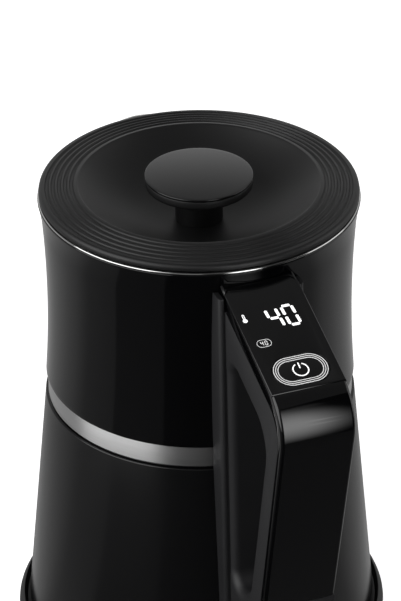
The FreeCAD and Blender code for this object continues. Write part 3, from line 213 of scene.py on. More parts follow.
def round_edges(piece, edge):
    """Rounds sharp edges with a bevel and shades the rest smooth."""
    activate(piece)
    if edge:
        bevel = piece.modifiers.new("edges", "BEVEL")
        bevel.width = edge
        bevel.segments = EDGE_STEPS
        bevel.limit_method = "ANGLE"
        bevel.angle_limit = EDGE_BEND
        bevel.miter_outer = "MITER_ARC"
        bpy.ops.object.modifier_apply(modifier=bevel.name)
    bpy.ops.object.shade_smooth_by_angle(angle=SMOOTH_BEND)


def smooth_copy(node, name, edge):
    """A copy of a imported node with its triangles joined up, flat faces made whole and edges softened."""
    deselect_all()
    piece = bpy.data.objects.new(name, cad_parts[node].data.copy())
    bpy.context.scene.collection.objects.link(piece)
    activate(piece)
    bpy.ops.mesh.customdata_custom_splitnormals_clear()
    bpy.ops.object.mode_set(mode="EDIT")
    bpy.ops.mesh.select_all(action="SELECT")
    bpy.ops.mesh.remove_doubles(threshold=0.002 * MM)
    bpy.ops.mesh.dissolve_limited(angle_limit=math.radians(0.2))
    bpy.ops.object.mode_set(mode="OBJECT")
    round_edges(piece, edge)
    return piece


def subtract(piece, tool):
    """Cuts one mesh out of another and removes the tool."""
    activate(piece)
    boolean = piece.modifiers.new("cut", "BOOLEAN")
    boolean.operation = "DIFFERENCE"
    boolean.solver = "EXACT"
    boolean.object = tool
    bpy.ops.object.modifier_apply(modifier=boolean.name)
    bpy.data.objects.remove(tool)


def finish_piece(piece, body, slot, material, *nodes):
    """Gives a piece its finish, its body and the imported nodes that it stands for."""
    piece.data.materials.clear()
    piece.data.materials.append(material)
    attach(piece, body)
    if nodes:
        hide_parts(*nodes)
    return piece


def dress(material, *nodes):
    """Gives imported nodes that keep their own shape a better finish."""
    for name in nodes:
        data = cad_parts[name].data
        data.materials.clear()
        data.materials.append(material)


# Finishes


# Width of a patch of one roughness, of a scratch and of a patch of one glow
PATCH = 18 * MM
SCRATCH = 0.35 * MM
GLOW_PATCH = 2 * MM
# Share of the colour left in the scratches, and the lowest glow as a share of the highest
SCRATCH_TONE = 0.82
GLOW_LOW = 0.9


def add(tree, kind, links=(), inputs=(), **settings):
    """Adds a node with its settings, its input values and its links from other nodes' outputs."""
    item = tree.nodes.new(kind)
    for key, value in settings.items():
        setattr(item, key, value)
    for key, value in dict(inputs).items():
        item.inputs[key].default_value = value
    for key, (source, output) in dict(links).items():
        tree.links.new(source.outputs[output], item.inputs[key])
    return item


def finish(name, base, roughness, metallic=0.0, **sockets):
    """A new material with its shader, whose constants sit on the shader's own sockets."""
    material = bpy.data.materials.new(name)
    material.use_nodes = True
    shader = material.node_tree.nodes["Principled BSDF"]
    shader.inputs["Base Color"].default_value = base
    shader.inputs["Roughness"].default_value = roughness
    shader.inputs["Metallic"].default_value = metallic
    for key, value in sockets.items():
        shader.inputs[key.replace("_", " ")].default_value = value
    return material, material.node_tree, shader


def moulded(name, base, low, high, grain, depth):
    """Moulded plastic: an eroded grain, and a roughness that wanders from low to high over wide patches."""
    material, tree, shader = finish(name, base, high, IOR=1.53)
    place = add(tree, "ShaderNodeTexCoord")
    spot = {"Vector": (place, "Object")}
    fine = add(tree, "ShaderNodeTexNoise", spot, {"Scale": 1 / grain, "Detail": 2.0})
    wide = add(tree, "ShaderNodeTexNoise", spot, {"Scale": 1 / PATCH, "Detail": 3.0})
    bump = add(tree, "ShaderNodeBump", {"Height": (fine, "Fac")}, {"Strength": 0.35, "Distance": depth})
    gloss = add(tree, "ShaderNodeMapRange", {"Value": (wide, "Fac")}, {"To Min": low, "To Max": high})
    tree.links.new(bump.outputs["Normal"], shader.inputs["Normal"])
    tree.links.new(gloss.outputs["Result"], shader.inputs["Roughness"])
    return material


def brushed(name, base, stretch, low, high, depth):
    """Worked metal: fine lines along the directions of small stretch, which spread light across them."""
    material, tree, shader = finish(name, base, high, 1.0, Anisotropic=0.95, Anisotropic_Rotation=0.25)
    place = add(tree, "ShaderNodeTexCoord")
    scale = [share / SCRATCH for share in stretch]
    grain = add(tree, "ShaderNodeMapping", {"Vector": (place, "Object")}, {"Scale": scale})
    lines = add(tree, "ShaderNodeTexNoise", {"Vector": (grain, "Vector")}, {"Scale": 1.0, "Detail": 4.0})
    bump = add(tree, "ShaderNodeBump", {"Height": (lines, "Fac")}, {"Strength": 0.5, "Distance": depth})
    gloss = add(tree, "ShaderNodeMapRange", {"Value": (lines, "Fac")}, {"To Min": low, "To Max": high})
    dull = [c * SCRATCH_TONE for c in base[:3]] + [1.0]
    tone = add(tree, "ShaderNodeMix", {"Factor": (lines, "Fac")}, data_type="RGBA")
    tone.inputs["A"].default_value = dull
    tone.inputs["B"].default_value = base
    round_axis = add(tree, "ShaderNodeTangent", direction_type="RADIAL", axis="Z")
    tree.links.new(round_axis.outputs["Tangent"], shader.inputs["Tangent"])
    tree.links.new(bump.outputs["Normal"], shader.inputs["Normal"])
    tree.links.new(gloss.outputs["Result"], shader.inputs["Roughness"])
    tree.links.new(tone.outputs["Result"], shader.inputs["Base Color"])
    return material


def lit(name, base, strength):
    """Light-emitting segments behind a printed window: an even white that shines a little by itself."""
    material, tree, shader = finish(name, base, 0.4)
    shader.inputs["Emission Color"].default_value = base
    place = add(tree, "ShaderNodeTexCoord")
    cloud = add(tree, "ShaderNodeTexNoise", {"Vector": (place, "Object")}, {"Scale": 1 / GLOW_PATCH})
    glow = add(tree, "ShaderNodeMapRange", {"Value": (cloud, "Fac")},
               {"To Min": GLOW_LOW * strength, "To Max": strength})
    tree.links.new(glow.outputs["Result"], shader.inputs["Emission Strength"])
    return material


def make_finishes(colours):
    """Every finish by its name. The lowest and highest roughness come before the grain and the depth."""
    black, gloss, grip = colours.satin_black, colours.gloss_black, colours.grip_grey
    steel, bright = colours.steel, colours.bright_steel
    return {
        # ABS from an eroded mould: a dull black whose light spreads into soft grey
        "satin_black": moulded("moulded satin black ABS", black, 0.43, 0.5, 0.7 * MM, 0.02 * MM),
        # The same ABS from a finer mould: the light on it keeps more of its shape
        "shell_black": moulded("moulded half-gloss black ABS", black, 0.16, 0.22, 0.7 * MM, 0.01 * MM),
        # ABS from a polished mould: near black, with sharp reflections that waver very slightly
        "gloss_black": moulded("moulded gloss black ABS", gloss, 0.05, 0.09, 14 * MM, 0.01 * MM),
        # Glass-filled nylon from a rough mould: dark grey and quite matt, so that it grips
        "grip_grey": moulded("rough moulded grey nylon", grip, 0.48, 0.6, 0.8 * MM, 0.05 * MM),
        # Acrylic panel with a printed back: smooth, with a soft sheen
        "panel_black": moulded("printed black acrylic", colours.panel_black, 0.1, 0.16, 14 * MM, 0.01 * MM),
        # Stainless steel brushed round the body: grey with level scratches
        "band_steel": brushed("level brushed stainless steel", steel, (0.02, 0.02, 1.0), 0.34, 0.48,
                              0.02 * MM),
        # Deep-drawn stainless steel: brushed on a turning wheel, so that the lines are level too
        "pot_steel": brushed("turned stainless steel", steel, (0.03, 0.03, 0.7), 0.22, 0.36, 0.02 * MM),
        # Stainless steel polished on a wheel: bright, with hardly a line left
        "bright_steel": brushed("polished stainless steel", bright, (0.05, 0.05, 0.3), 0.1, 0.18,
                                0.004 * MM),
        # What lies inside or underneath: cast, plated and stamped metal, rubber, nylon and the board
        "aluminium": brushed("cast aluminium", linear("#B4B5B7"), (0.4, 0.4, 0.4), 0.4, 0.6, 0.05 * MM),
        "zinc": brushed("zinc-plated steel", linear("#A9ABAE"), (0.5, 0.5, 0.5), 0.3, 0.42, 0.01 * MM),
        "brass": brushed("stamped brass", linear("#C9A45C"), (0.3, 0.3, 0.3), 0.25, 0.38, 0.01 * MM),
        "rubber": moulded("moulded black rubber", linear("#1B1B1B"), 0.65, 0.8, 0.9 * MM, 0.05 * MM),
        "silicone": moulded("grey silicone", linear("#B9B9B6"), 0.45, 0.6, 1.2 * MM, 0.02 * MM),
        "white_plastic": moulded("heat-proof white nylon", linear("#DAD8D2"), 0.4, 0.55, 0.9 * MM,
                                 0.03 * MM),
        "board": moulded("green circuit board", linear("#1F5A35"), 0.3, 0.5, 1.4 * MM, 0.04 * MM),
        "display": moulded("black display block", linear("#141414"), 0.3, 0.4, 1.0 * MM, 0.02 * MM),
        # Lit segments, and a printed line that shines through less
        "mark": lit("lit white mark", colours.mark_white, 0.9),
        "line": lit("printed light grey line", linear("#D8D8D8"), 0.68),
    }


finishes = {}


# Lid


class KETTLE_OT_lid(bpy.types.Operator):
    """Spins the dished lid with its ringed border"""
    bl_idname = "kettle.lid"
    bl_label = "Lid"

    def execute(self, context):
        lid = context.scene.kettle_lid
        edge = context.scene.kettle_body.lid_edge
        crown = edge + lid.crown
        border_end = lid.radius - 2.0 * MM
        border_top = crown - lid.fall
        border_under = border_top - 1.5 * MM
        shoulder = (border_end + 1.6 * MM, edge + 1.58 * MM)
        side_top = edge + 0.6 * MM
        tuck = 0.9 * MM
        seat_drop, seat_in, seat_out = 1.8 * MM, 58.7 * MM, 62.7 * MM
        plug, plug_wall, plug_drop = 55.8 * MM, 2.2 * MM, 17.0 * MM
        bore = 1.6 * MM
        dish_foot = edge - lid.dish_depth
        dish_middle = (32.0 * MM, edge - 7.4 * MM)
        dish_wall, dish_floor = 1.4 * MM, 2.2 * MM
        dish_under = (33.0 * MM, edge - 9.6 * MM)
        section = [(bore, dish_foot)]
        section += arc((lid.stem_radius, dish_foot), dish_middle, (lid.dish_radius, crown), 40)
        section.append((lid.dish_radius, crown))
        section += ring_section(lid, crown, border_end)
        section += arc((border_end, border_top), shoulder, (lid.radius, side_top), 6)
        section += [
            (lid.radius, side_top),
            (lid.radius, edge - lid.skirt),
            (lid.radius - tuck, edge - lid.skirt),
            (lid.radius - tuck, edge - 2 * lid.skirt),
            (seat_out, edge - 2 * lid.skirt),
            (seat_out, edge - seat_drop),
            (seat_in, edge - seat_drop),
            (seat_in, edge),
            (plug, edge),
            (plug, edge - plug_drop),
            (plug - plug_wall, edge - plug_drop),
            (plug - plug_wall, border_under),
            (lid.dish_radius + dish_wall, border_under),
            dish_under,
            (lid.stem_radius, dish_foot - dish_floor),
            (lid.stem_radius, edge - plug_drop),
            (bore, edge - plug_drop),
        ]
        piece = lathe("lid_cover", section, 0.18 * MM)
        finish_piece(piece, "lid", "satin_black", finishes["satin_black"], "lid_top")
        return {"FINISHED"}


def ring_section(lid, crown, border_end):
    """The ringed border from the dish outwards: a round-bottomed groove after each flat ring."""
    points = []
    ring = 0
    half = 0.84 * MM
    while lid.ring_start + lid.ring_pitch * (ring + 1) < border_end:
        middle = lid.ring_start + lid.ring_pitch * (ring + 0.5)
        top = crown - lid.fall * (middle - lid.dish_radius) / (border_end - lid.dish_radius)
        points += arc((middle - half, top), (middle, top - lid.ring_depth), (middle + half, top), 8)
        points.append((middle + half, top))
        ring += 1
    return points


class KETTLE_OT_knob(bpy.types.Operator):
    """Spins the knob with its stem, and the cap that sits on it over a thin groove"""
    bl_idname = "kettle.knob"
    bl_label = "Knob"

    def execute(self, context):
        lid = context.scene.kettle_lid
        edge = context.scene.kettle_body.lid_edge
        top = edge + lid.knob_top
        foot = top - lid.knob_edge
        throat = 5.0 * MM
        curve = 1.2 * MM
        stem = lid.stem_radius
        side = lid.knob_radius
        neck = side - lid.cap_groove
        section = [(0.0, edge - lid.dish_depth), (stem, edge - lid.dish_depth)]
        section += quarter((stem, foot - throat), (stem, foot), (stem + throat, foot), 10)
        section.append((stem + throat, foot))
        section += quarter((side - curve, foot), (side, foot), (side, foot + curve), 6)
        section += [(side, foot + curve), (side, top), (neck, top), (0.0, top)]
        knob = lathe("knob_plate", section, 0.2 * MM)
        finish_piece(knob, "lid", "satin_black", finishes["satin_black"], "lid_knob")
        ledge = top + lid.cap_groove
        rise = ledge + lid.cap_edge
        bend = 0.6 * lid.cap_edge
        section = [(0.0, top), (neck, top), (neck, ledge), (side, ledge)]
        section += quarter((side, rise - bend), (side, rise), (side - bend, rise), 6)
        halfway = ((side - bend) / 2, rise + 0.75 * lid.cap_dome)
        section += arc((side - bend, rise), halfway, (0.0, rise + lid.cap_dome), 16)
        section.append((0.0, rise + lid.cap_dome))
        cap = lathe("knob_inlay", section, 0.1 * MM)
        finish_piece(cap, "lid", "satin_black", finishes["shell_black"], "knob_cap")
        return {"FINISHED"}


# Body


BAND_WALL = 0.8 * MM


def collar_outside(body):
    """The collar's outer line from its foot over the waist to the rim."""
    edge = body.lid_edge
    rim = edge - body.rim_drop
    bend = edge - (body.flare_drop + body.rim_drop) / 2
    hollow = body.flare_radius + 0.35 * (body.rim_radius - body.flare_radius)
    foot = (body.collar_radius, edge - body.collar_drop)
    waist = (body.waist_radius, edge - body.waist_drop)
    flare = (body.flare_radius, edge - body.flare_drop)
    line = arc(foot, waist, flare, 40)
    line += arc(flare, (hollow, bend), (body.rim_radius, rim), 10)
    return line + [(body.rim_radius, rim)]


class KETTLE_OT_collar(bpy.types.Operator):
    """Spins the gloss collar, cuts its pouring window and adds the bright rim ring"""
    bl_idname = "kettle.collar"
    bl_label = "Collar and rim"

    def execute(self, context):
        body = context.scene.kettle_body
        rim = body.lid_edge - body.rim_drop
        foot = body.lid_edge - body.collar_drop
        inner = body.waist_radius - body.wall
        socket = body.band_radius - BAND_WALL
        neck_top = foot + 7.8 * MM
        ring_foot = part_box("rim_ring")[0].z
        ring_seat = body.ring_radius - 0.4 * MM
        section = collar_outside(body) + [
            (ring_seat, rim),
            (ring_seat, ring_foot),
            (inner, ring_foot),
            (inner, neck_top + body.wall),
            (socket, neck_top),
            (socket, foot),
        ]
        collar = lathe("collar_shell", section, 0.25 * MM)
        spout_low, spout_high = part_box("spout_lip")
        spout_wall = 1.0 * MM
        window = spout_high.y - spout_wall
        window_foot, window_depth, window_drop = 2.0 * MM, 44.0 * MM, 20.0 * MM
        deselect_all()
        bpy.ops.mesh.primitive_cone_add(
            vertices=96, radius1=window_foot, radius2=window, depth=window_depth,
            location=(spout_low.x + spout_high.y, 0, ring_foot - window_drop))
        subtract(collar, bpy.context.object)
        round_edges(collar, 0.0)
        finish_piece(collar, "kettle", "gloss_black", finishes["gloss_black"], "upper_collar")
        lip = 0.8 * MM
        lip_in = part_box("inner_pot")[1].x - 3.0 * MM
        ring_in = body.ring_radius - 2.2 * MM
        ring_back = body.ring_radius - body.ring_height / 4
        top = rim + body.ring_height
        section = arc((ring_back, rim), (body.ring_radius, (rim + top) / 2), (ring_back, top), 8)
        section += [
            (ring_back, top),
            (ring_in, top),
            (ring_in, ring_foot + 2 * lip),
            (lip_in, ring_foot + 2 * lip),
            (lip_in, ring_foot + lip),
            (ring_in, ring_foot + lip),
            (ring_in, ring_foot),
            (ring_back - lip, ring_foot),
            (ring_back - lip, rim),
        ]
        ring = lathe("rim_bead", section, 0.1 * MM)
        finish_piece(ring, "kettle", "polished_steel", finishes["bright_steel"], "rim_ring")
        return {"FINISHED"}


class KETTLE_OT_shell(bpy.types.Operator):
    """Spins the conical lower shell and the steel band above it"""
    bl_idname = "kettle.shell"
    bl_label = "Shell and band"

    def execute(self, context):
        body = context.scene.kettle_body
        band_top = body.lid_edge - body.collar_drop
        band_foot = band_top - body.band_height
        top = band_foot - body.band_gap
        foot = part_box("lower_shell")[0].z
        neck = body.band_radius - 0.9 * MM
        neck_in = neck - 1.6 * MM
        neck_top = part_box("lower_shell")[1].z
        corner = 3.0 * MM
        side = body.shell_foot
        section = quarter((side - corner, foot), (side, foot), (side, foot + corner), 8)
        section += [
            (side, foot + corner),
            (body.shell_top, top),
            (neck, top),
            (neck, neck_top),
            (neck_in, neck_top),
            (neck_in, top - body.wall),
            (body.shell_top - body.wall, top - 2 * body.wall),
            (side - body.wall, foot + 3 * corner),
            (side - corner - body.wall, foot + corner),
            (side - corner - body.wall, foot),
        ]
        shell = lathe("shell_wall", section, 0.35 * MM)
        finish_piece(shell, "kettle", "satin_black", finishes["shell_black"], "lower_shell")
        outer = body.band_radius
        inner = outer - BAND_WALL
        section = [(inner, band_foot), (outer, band_foot), (outer, band_top), (inner, band_top)]
        band = lathe("band_skin", section, 0.2 * MM)
        finish_piece(band, "kettle", "brushed_steel", finishes["band_steel"], "steel_band")
        return {"FINISHED"}


class KETTLE_OT_spout(bpy.types.Operator):
    """Smooths the pouring lip, draws its edge up to the rim and finishes the strainer behind it"""
    bl_idname = "kettle.spout"
    bl_label = "Spout"

    def execute(self, context):
        lip = smooth_copy("spout_lip", "spout_beak", 0.2 * MM)
        edge_depth, edge_rise = 0.3 * MM, 0.9 * MM
        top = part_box("spout_lip")[1].z - edge_depth
        move_points(lip, lambda place: place.z > top, (0, 0, edge_rise))
        finish_piece(lip, "kettle", "polished_steel", finishes["bright_steel"], "spout_lip")
        dress(finishes["pot_steel"], "spout_strainer", "inner_pot")
        return {"FINISHED"}


# Handle


class KETTLE_OT_handle(bpy.types.Operator):
    """Softens the gloss outer half and the matt inner half of the looped handle"""
    bl_idname = "kettle.handle"
    bl_label = "Handle"

    def execute(self, context):
        cover = smooth_copy("handle_cover", "handle_shell", 0.45 * MM)
        finish_piece(cover, "kettle", "gloss_black", finishes["gloss_black"], "handle_cover")
        inner = smooth_copy("handle_inner", "handle_grip", 0.5 * MM)
        finish_piece(inner, "kettle", "matt_grey", finishes["grip_grey"], "handle_inner")
        return {"FINISHED"}


def panel_frame(panel, body, along):
    """The place on the panel at a distance from its upper edge: X down the slope, Y across, Z out of it."""
    x = panel.reach + along * math.cos(panel.slope)
    z = body.lid_edge - panel.drop - along * math.sin(panel.slope)
    return Matrix.Translation((x, 0, z)) @ Matrix.Rotation(panel.slope, 4, "Y")


def settle(piece, place, aside=0.0, lean=0.0):
    """Sets a flat mark down on the panel: slanted, moved aside and turned to read from the handle's end."""
    upright = Matrix.Rotation(math.radians(90), 4, "Z")
    slant = Matrix.Identity(4)
    slant[0][1] = lean
    slant[0][3] = aside
    piece.data.transform(place @ upright @ slant @ piece.matrix_world)
    piece.matrix_world = Matrix.Identity(4)
    return piece


def raise_flat(piece):
    """Gives a flat drawing its thickness, upwards."""
    activate(piece)
    bpy.ops.object.mode_set(mode="EDIT")
    bpy.ops.mesh.select_all(action="SELECT")
    bpy.ops.mesh.remove_doubles(threshold=WELD)
    bpy.ops.mesh.extrude_region_move(TRANSFORM_OT_translate={"value": (0, 0, MARK_THICKNESS)})
    bpy.ops.mesh.select_all(action="SELECT")
    bpy.ops.mesh.normals_make_consistent(inside=False)
    bpy.ops.object.mode_set(mode="OBJECT")
    return piece


def move_points(piece, test, move):
    """Moves the points of a drawing whose place passes a test."""
    activate(piece)
    bpy.ops.object.mode_set(mode="EDIT")
    bpy.ops.mesh.select_all(action="DESELECT")
    bpy.ops.object.mode_set(mode="OBJECT")
    for vertex in piece.data.vertices:
        vertex.select = test(vertex.co)
    bpy.ops.object.mode_set(mode="EDIT")
    bpy.ops.transform.translate(value=move)
    bpy.ops.object.mode_set(mode="OBJECT")


def stretch_out(piece, middle, reach):
    """Draws the two ends of a drawing apart, each by the reach, away from the middle."""
    axis = reach.normalized()
    move_points(piece, lambda place: (place - middle).dot(axis) > TINY, reach)
    move_points(piece, lambda place: (place - middle).dot(axis) < -TINY, -reach)


def oval_line(name, long_side, short_side, line):
    """An oval line drawn round the origin, its long side along X."""
    deselect_all()
    bpy.ops.mesh.primitive_circle_add(vertices=96, radius=short_side / 2, fill_type="NGON")
    piece = bpy.context.object
    piece.name = name
    stretch_out(piece, Vector((0, 0, 0)), Vector(((long_side - short_side) / 2, 0, 0)))
    activate(piece)
    bpy.ops.object.mode_set(mode="EDIT")
    bpy.ops.mesh.select_all(action="SELECT")
    bpy.ops.mesh.inset(thickness=line)
    bpy.ops.mesh.delete(type="FACE")
    bpy.ops.object.mode_set(mode="OBJECT")
    return raise_flat(piece)


def bar(name, x, y, long_side, short_side, upright=False):
    """A straight stroke with pointed ends, as one segment of a digit: a hexagon drawn out to its length."""
    deselect_all()
    tip = short_side / math.sqrt(3)
    turn = 0.0 if upright else math.pi / 2
    bpy.ops.mesh.primitive_circle_add(vertices=6, radius=tip, fill_type="NGON", location=(x, y, 0),
                                      rotation=(0, 0, turn))
    bpy.ops.object.transform_apply()
    piece = bpy.context.object
    piece.name = name
    half = long_side / 2 - tip
    stretch_out(piece, Vector((x, y, 0)), Vector((0, half, 0)) if upright else Vector((half, 0, 0)))
    return raise_flat(piece)


def curved_stroke(name, radius, line, start, sweep):
    """A stroke along part of a circle, spun clockwise from one short edge."""
    outward = Vector((math.cos(start), math.sin(start), 0))
    piece = first_point(name, outward * (radius - line / 2))
    bpy.ops.mesh.extrude_vertices_move(TRANSFORM_OT_translate={"value": outward * line})
    bpy.ops.mesh.select_all(action="SELECT")
    bpy.ops.mesh.spin(steps=40, angle=sweep, center=(0, 0, 0), axis=(0, 0, 1))
    bpy.ops.object.mode_set(mode="OBJECT")
    return raise_flat(piece)


def join(name, pieces):
    """Joins drawings into one piece."""
    activate(pieces[0])
    for piece in pieces:
        piece.select_set(True)
    bpy.ops.object.join()
    result = bpy.context.object
    result.name = name
    return result


SEGMENT_SETS = {"4": "bcfg", "0": "abcdef"}
# A figure's width as a share of its height, and its segments' lengths as shares of the room between corners
FIGURE_WIDTH = 0.5
FLAT_SHARE = 0.84
TALL_SHARE = 0.82


def digit(name, figure, x, height, line):
    """One seven-segment figure, its middle at x, with a gap between each two segments."""
    side = (FIGURE_WIDTH * height - line) / 2
    reach = (height - line) / 2
    flat = FLAT_SHARE * 2 * side
    tall = TALL_SHARE * reach
    strokes = {
        "a": (x, reach, flat, False), "d": (x, -reach, flat, False), "g": (x, 0.0, flat, False),
        "b": (x + side, reach / 2, tall, True), "c": (x + side, -reach / 2, tall, True),
        "f": (x - side, reach / 2, tall, True), "e": (x - side, -reach / 2, tall, True),
    }
    return [bar(f"{name}_{key}", sx, sy, size, line, upright)
            for key, (sx, sy, size, upright) in strokes.items() if key in SEGMENT_SETS[figure]]


def reading(name, size, step, line):
    """The figures 4 and 0, with a step from the middle of one to the middle of the other."""
    tens = digit(f"{name}_tens", "4", -step / 2, size, line)
    return tens + digit(f"{name}_ones", "0", step / 2, size, line)


# Places of the marks from the middle of the digits' line, aside and along the slope, and the digits' lean
DIGITS_ASIDE, DIGITS_LEAN = 2.8 * MM, -0.07
THERMOMETER_ASIDE, THERMOMETER_ALONG = -12.3 * MM, -2.5 * MM
SETTING_ASIDE, SETTING_ALONG = -9.1 * MM, 11.0 * MM


class KETTLE_OT_panel(bpy.types.Operator):
    """Finishes the panel and draws its lit digits, the thermometer and the small oval mark"""
    bl_idname = "kettle.panel"
    bl_label = "Panel marks"

    def execute(self, context):
        panel = context.scene.kettle_panel
        body = context.scene.kettle_body
        plate = smooth_copy("control_panel", "panel_plate", 0.12 * MM)
        finish_piece(plate, "kettle", "panel_black", finishes["panel_black"], "control_panel")
        size = panel.digit_height
        digits = join("lit_digits", reading("lit", size, step=0.61 * size, line=0.11 * size))
        settle(digits, panel_frame(panel, body, panel.digit_place), DIGITS_ASIDE, DIGITS_LEAN)
        finish_piece(digits, "kettle", "panel_black", finishes["mark"])
        stem_length, stem_width, stem_line, stem_rise = 2.8 * MM, 1.0 * MM, 0.3 * MM, 0.7 * MM
        bulb, bulb_drop = 0.95 * MM, 1.1 * MM
        stem = oval_line("thermometer_stem", stem_length, stem_width, stem_line)
        upright = Matrix.Rotation(math.radians(90), 4, "Z")
        stem.data.transform(Matrix.Translation((0, stem_rise, 0)) @ upright)
        ball = curved_stroke("thermometer_bulb", bulb / 2, bulb, 0.0, math.tau)
        ball.data.transform(Matrix.Translation((0, -bulb_drop, 0)))
        thermometer = join("lit_thermometer", [stem, ball])
        place = panel_frame(panel, body, panel.digit_place + THERMOMETER_ALONG)
        settle(thermometer, place, THERMOMETER_ASIDE)
        finish_piece(thermometer, "kettle", "panel_black", finishes["mark"])
        size = 2.4 * MM
        oval_length, oval_width, line = 6.0 * MM, 3.8 * MM, 0.2 * MM
        small = reading("small", size, step=0.72 * size, line=0.14 * size)
        small.append(oval_line("small_oval", oval_length, oval_width, line))
        place = panel_frame(panel, body, panel.digit_place + SETTING_ALONG)
        mark = settle(join("printed_setting", small), place, SETTING_ASIDE)
        finish_piece(mark, "kettle", "panel_black", finishes["line"])
        return {"FINISHED"}


class KETTLE_OT_power_key(bpy.types.Operator):
    """Finishes the push key and draws its ovals and its symbol"""
    bl_idname = "kettle.power_key"
    bl_label = "Power key"

    def execute(self, context):
        panel = context.scene.kettle_panel
        body = context.scene.kettle_body
        key = smooth_copy("power_key", "key_plate", 0.15 * MM)
        finish_piece(key, "power_key", "panel_black", finishes["panel_black"], "power_key")
        place = panel_frame(panel, body, panel.key_place)
        step, line = 1.75 * MM, 0.3 * MM
        ovals = [oval_line(f"oval_{i}", panel.key_length - i * step, panel.key_width - i * step, line)
                 for i in range(3)]
        lines = settle(join("key_ovals", ovals), place)
        finish_piece(lines, "power_key", "panel_black", finishes["line"])
        radius, line = 3.05 * MM, 0.48 * MM
        gap = math.radians(50)
        ring = curved_stroke("symbol_ring", radius, line, math.pi / 2 - gap / 2, math.tau - gap)
        post_place, post_length = 0.68 * radius, 0.95 * radius
        post = bar("symbol_post", 0.0, post_place, post_length, line, True)
        symbol = settle(join("key_symbol", [ring, post]), place)
        finish_piece(symbol, "power_key", "panel_black", finishes["mark"])
        return {"FINISHED"}


# Base, screws and inside


class KETTLE_OT_base(bpy.types.Operator):
    """Finishes the power base and its connector"""
    bl_idname = "kettle.base"
    bl_label = "Power base"

    def execute(self, context):
        cover = smooth_copy("base_cover", "base_dome", 0.3 * MM)
        finish_piece(cover, "power_base", "satin_black", finishes["satin_black"], "base_cover")
        dress(finishes["satin_black"], "base_plate")
        dress(finishes["rubber"], "base_foot", "cord_gland")
        dress(finishes["white_plastic"], "base_connector", "connector_socket")
        dress(finishes["brass"], "base_contacts", "socket_contacts")
        dress(finishes["zinc"], "base_screws")
        return {"FINISHED"}


class KETTLE_OT_inside(bpy.types.Operator):
    """Finishes what lies inside the body, the handle and the lid"""
    bl_idname = "kettle.inside"
    bl_label = "Inside"

    def execute(self, context):
        dress(finishes["satin_black"], "bottom_cover")
        dress(finishes["zinc"], "bottom_screws", "handle_screws", "knob_screw")
        dress(finishes["aluminium"], "heater_plate", "heating_element")
        dress(finishes["white_plastic"], "thermal_cutouts", "key_switch")
        dress(finishes["bright_steel"], "temperature_probe")
        dress(finishes["silicone"], "probe_seal", "lid_seal")
        dress(finishes["pot_steel"], "lid_liner")
        dress(finishes["board"], "control_board")
        dress(finishes["display"], "display_module")
        return {"FINISHED"}


# Studio


CAMERA_AZIMUTH = 69.2
CAMERA_ELEVATION = 29.377
CAMERA_DISTANCE = 1.3562
CAMERA_LENS = 200.545
CAMERA_DIP = 1.914
CAMERA_ROLL = -0.347
CAMERA_YAW = -0.017
FLOOR_SIZE = 30.0
# Each lamp: its name, degrees aside of the camera, elevation, distance, size and watts
LAMPS = (
    ("lamp_left", -60, 22, 1.3, 1.5, 16.0),
    ("lamp_right", 85, 15, 1.2, 1.2, 4.0),
)
# The softbox before the handle: its size, where it stands, and the upright strip of it that glows
SOFTBOX = 0.56
SOFTBOX_ASIDE = 42
SOFTBOX_ELEVATION = 10
SOFTBOX_DISTANCE = 0.3
STRIP_GLOW = 4.0
STRIP_SHIFT = 0.06
STRIP_CORE, STRIP_EDGE = 0.03, 0.095
# The paper's colour, and its own glow for the camera
PAPER = linear("#F4F4F4")
PAPER_GLOW = 0.85
# The wall of light behind the kettle, from its foot to its top by the sine of the elevation, and the room
WALL_FOOT, WALL_TOP = 0.3, 0.62
WALL_FOOT_LIGHT, WALL_TOP_LIGHT = 0.9, 0.12
ROOM_LIGHT = 0.12
# Greys by the degrees from straight behind the kettle, and from the camera's side for the mirrored floor
BACK_WALL = ((10.0, 1.0), (18.0, 0.78), (27.0, 0.58), (60.0, 0.38), (110.0, 0.12))
MIRRORED_FLOOR = ((23.5, 0.0), (25.0, 0.05), (59.5, 0.05), (61.0, 0.13),
                  (85.0, 0.16), (98.0, 0.28), (115.0, 0.34), (180.0, 0.42))


def aim(azimuth, elevation):
    """A unit vector from the kettle towards an azimuth and an elevation in degrees."""
    a, e = math.radians(azimuth), math.radians(elevation)
    return Vector((math.sin(a) * math.cos(e), -math.cos(a) * math.cos(e), math.sin(e)))


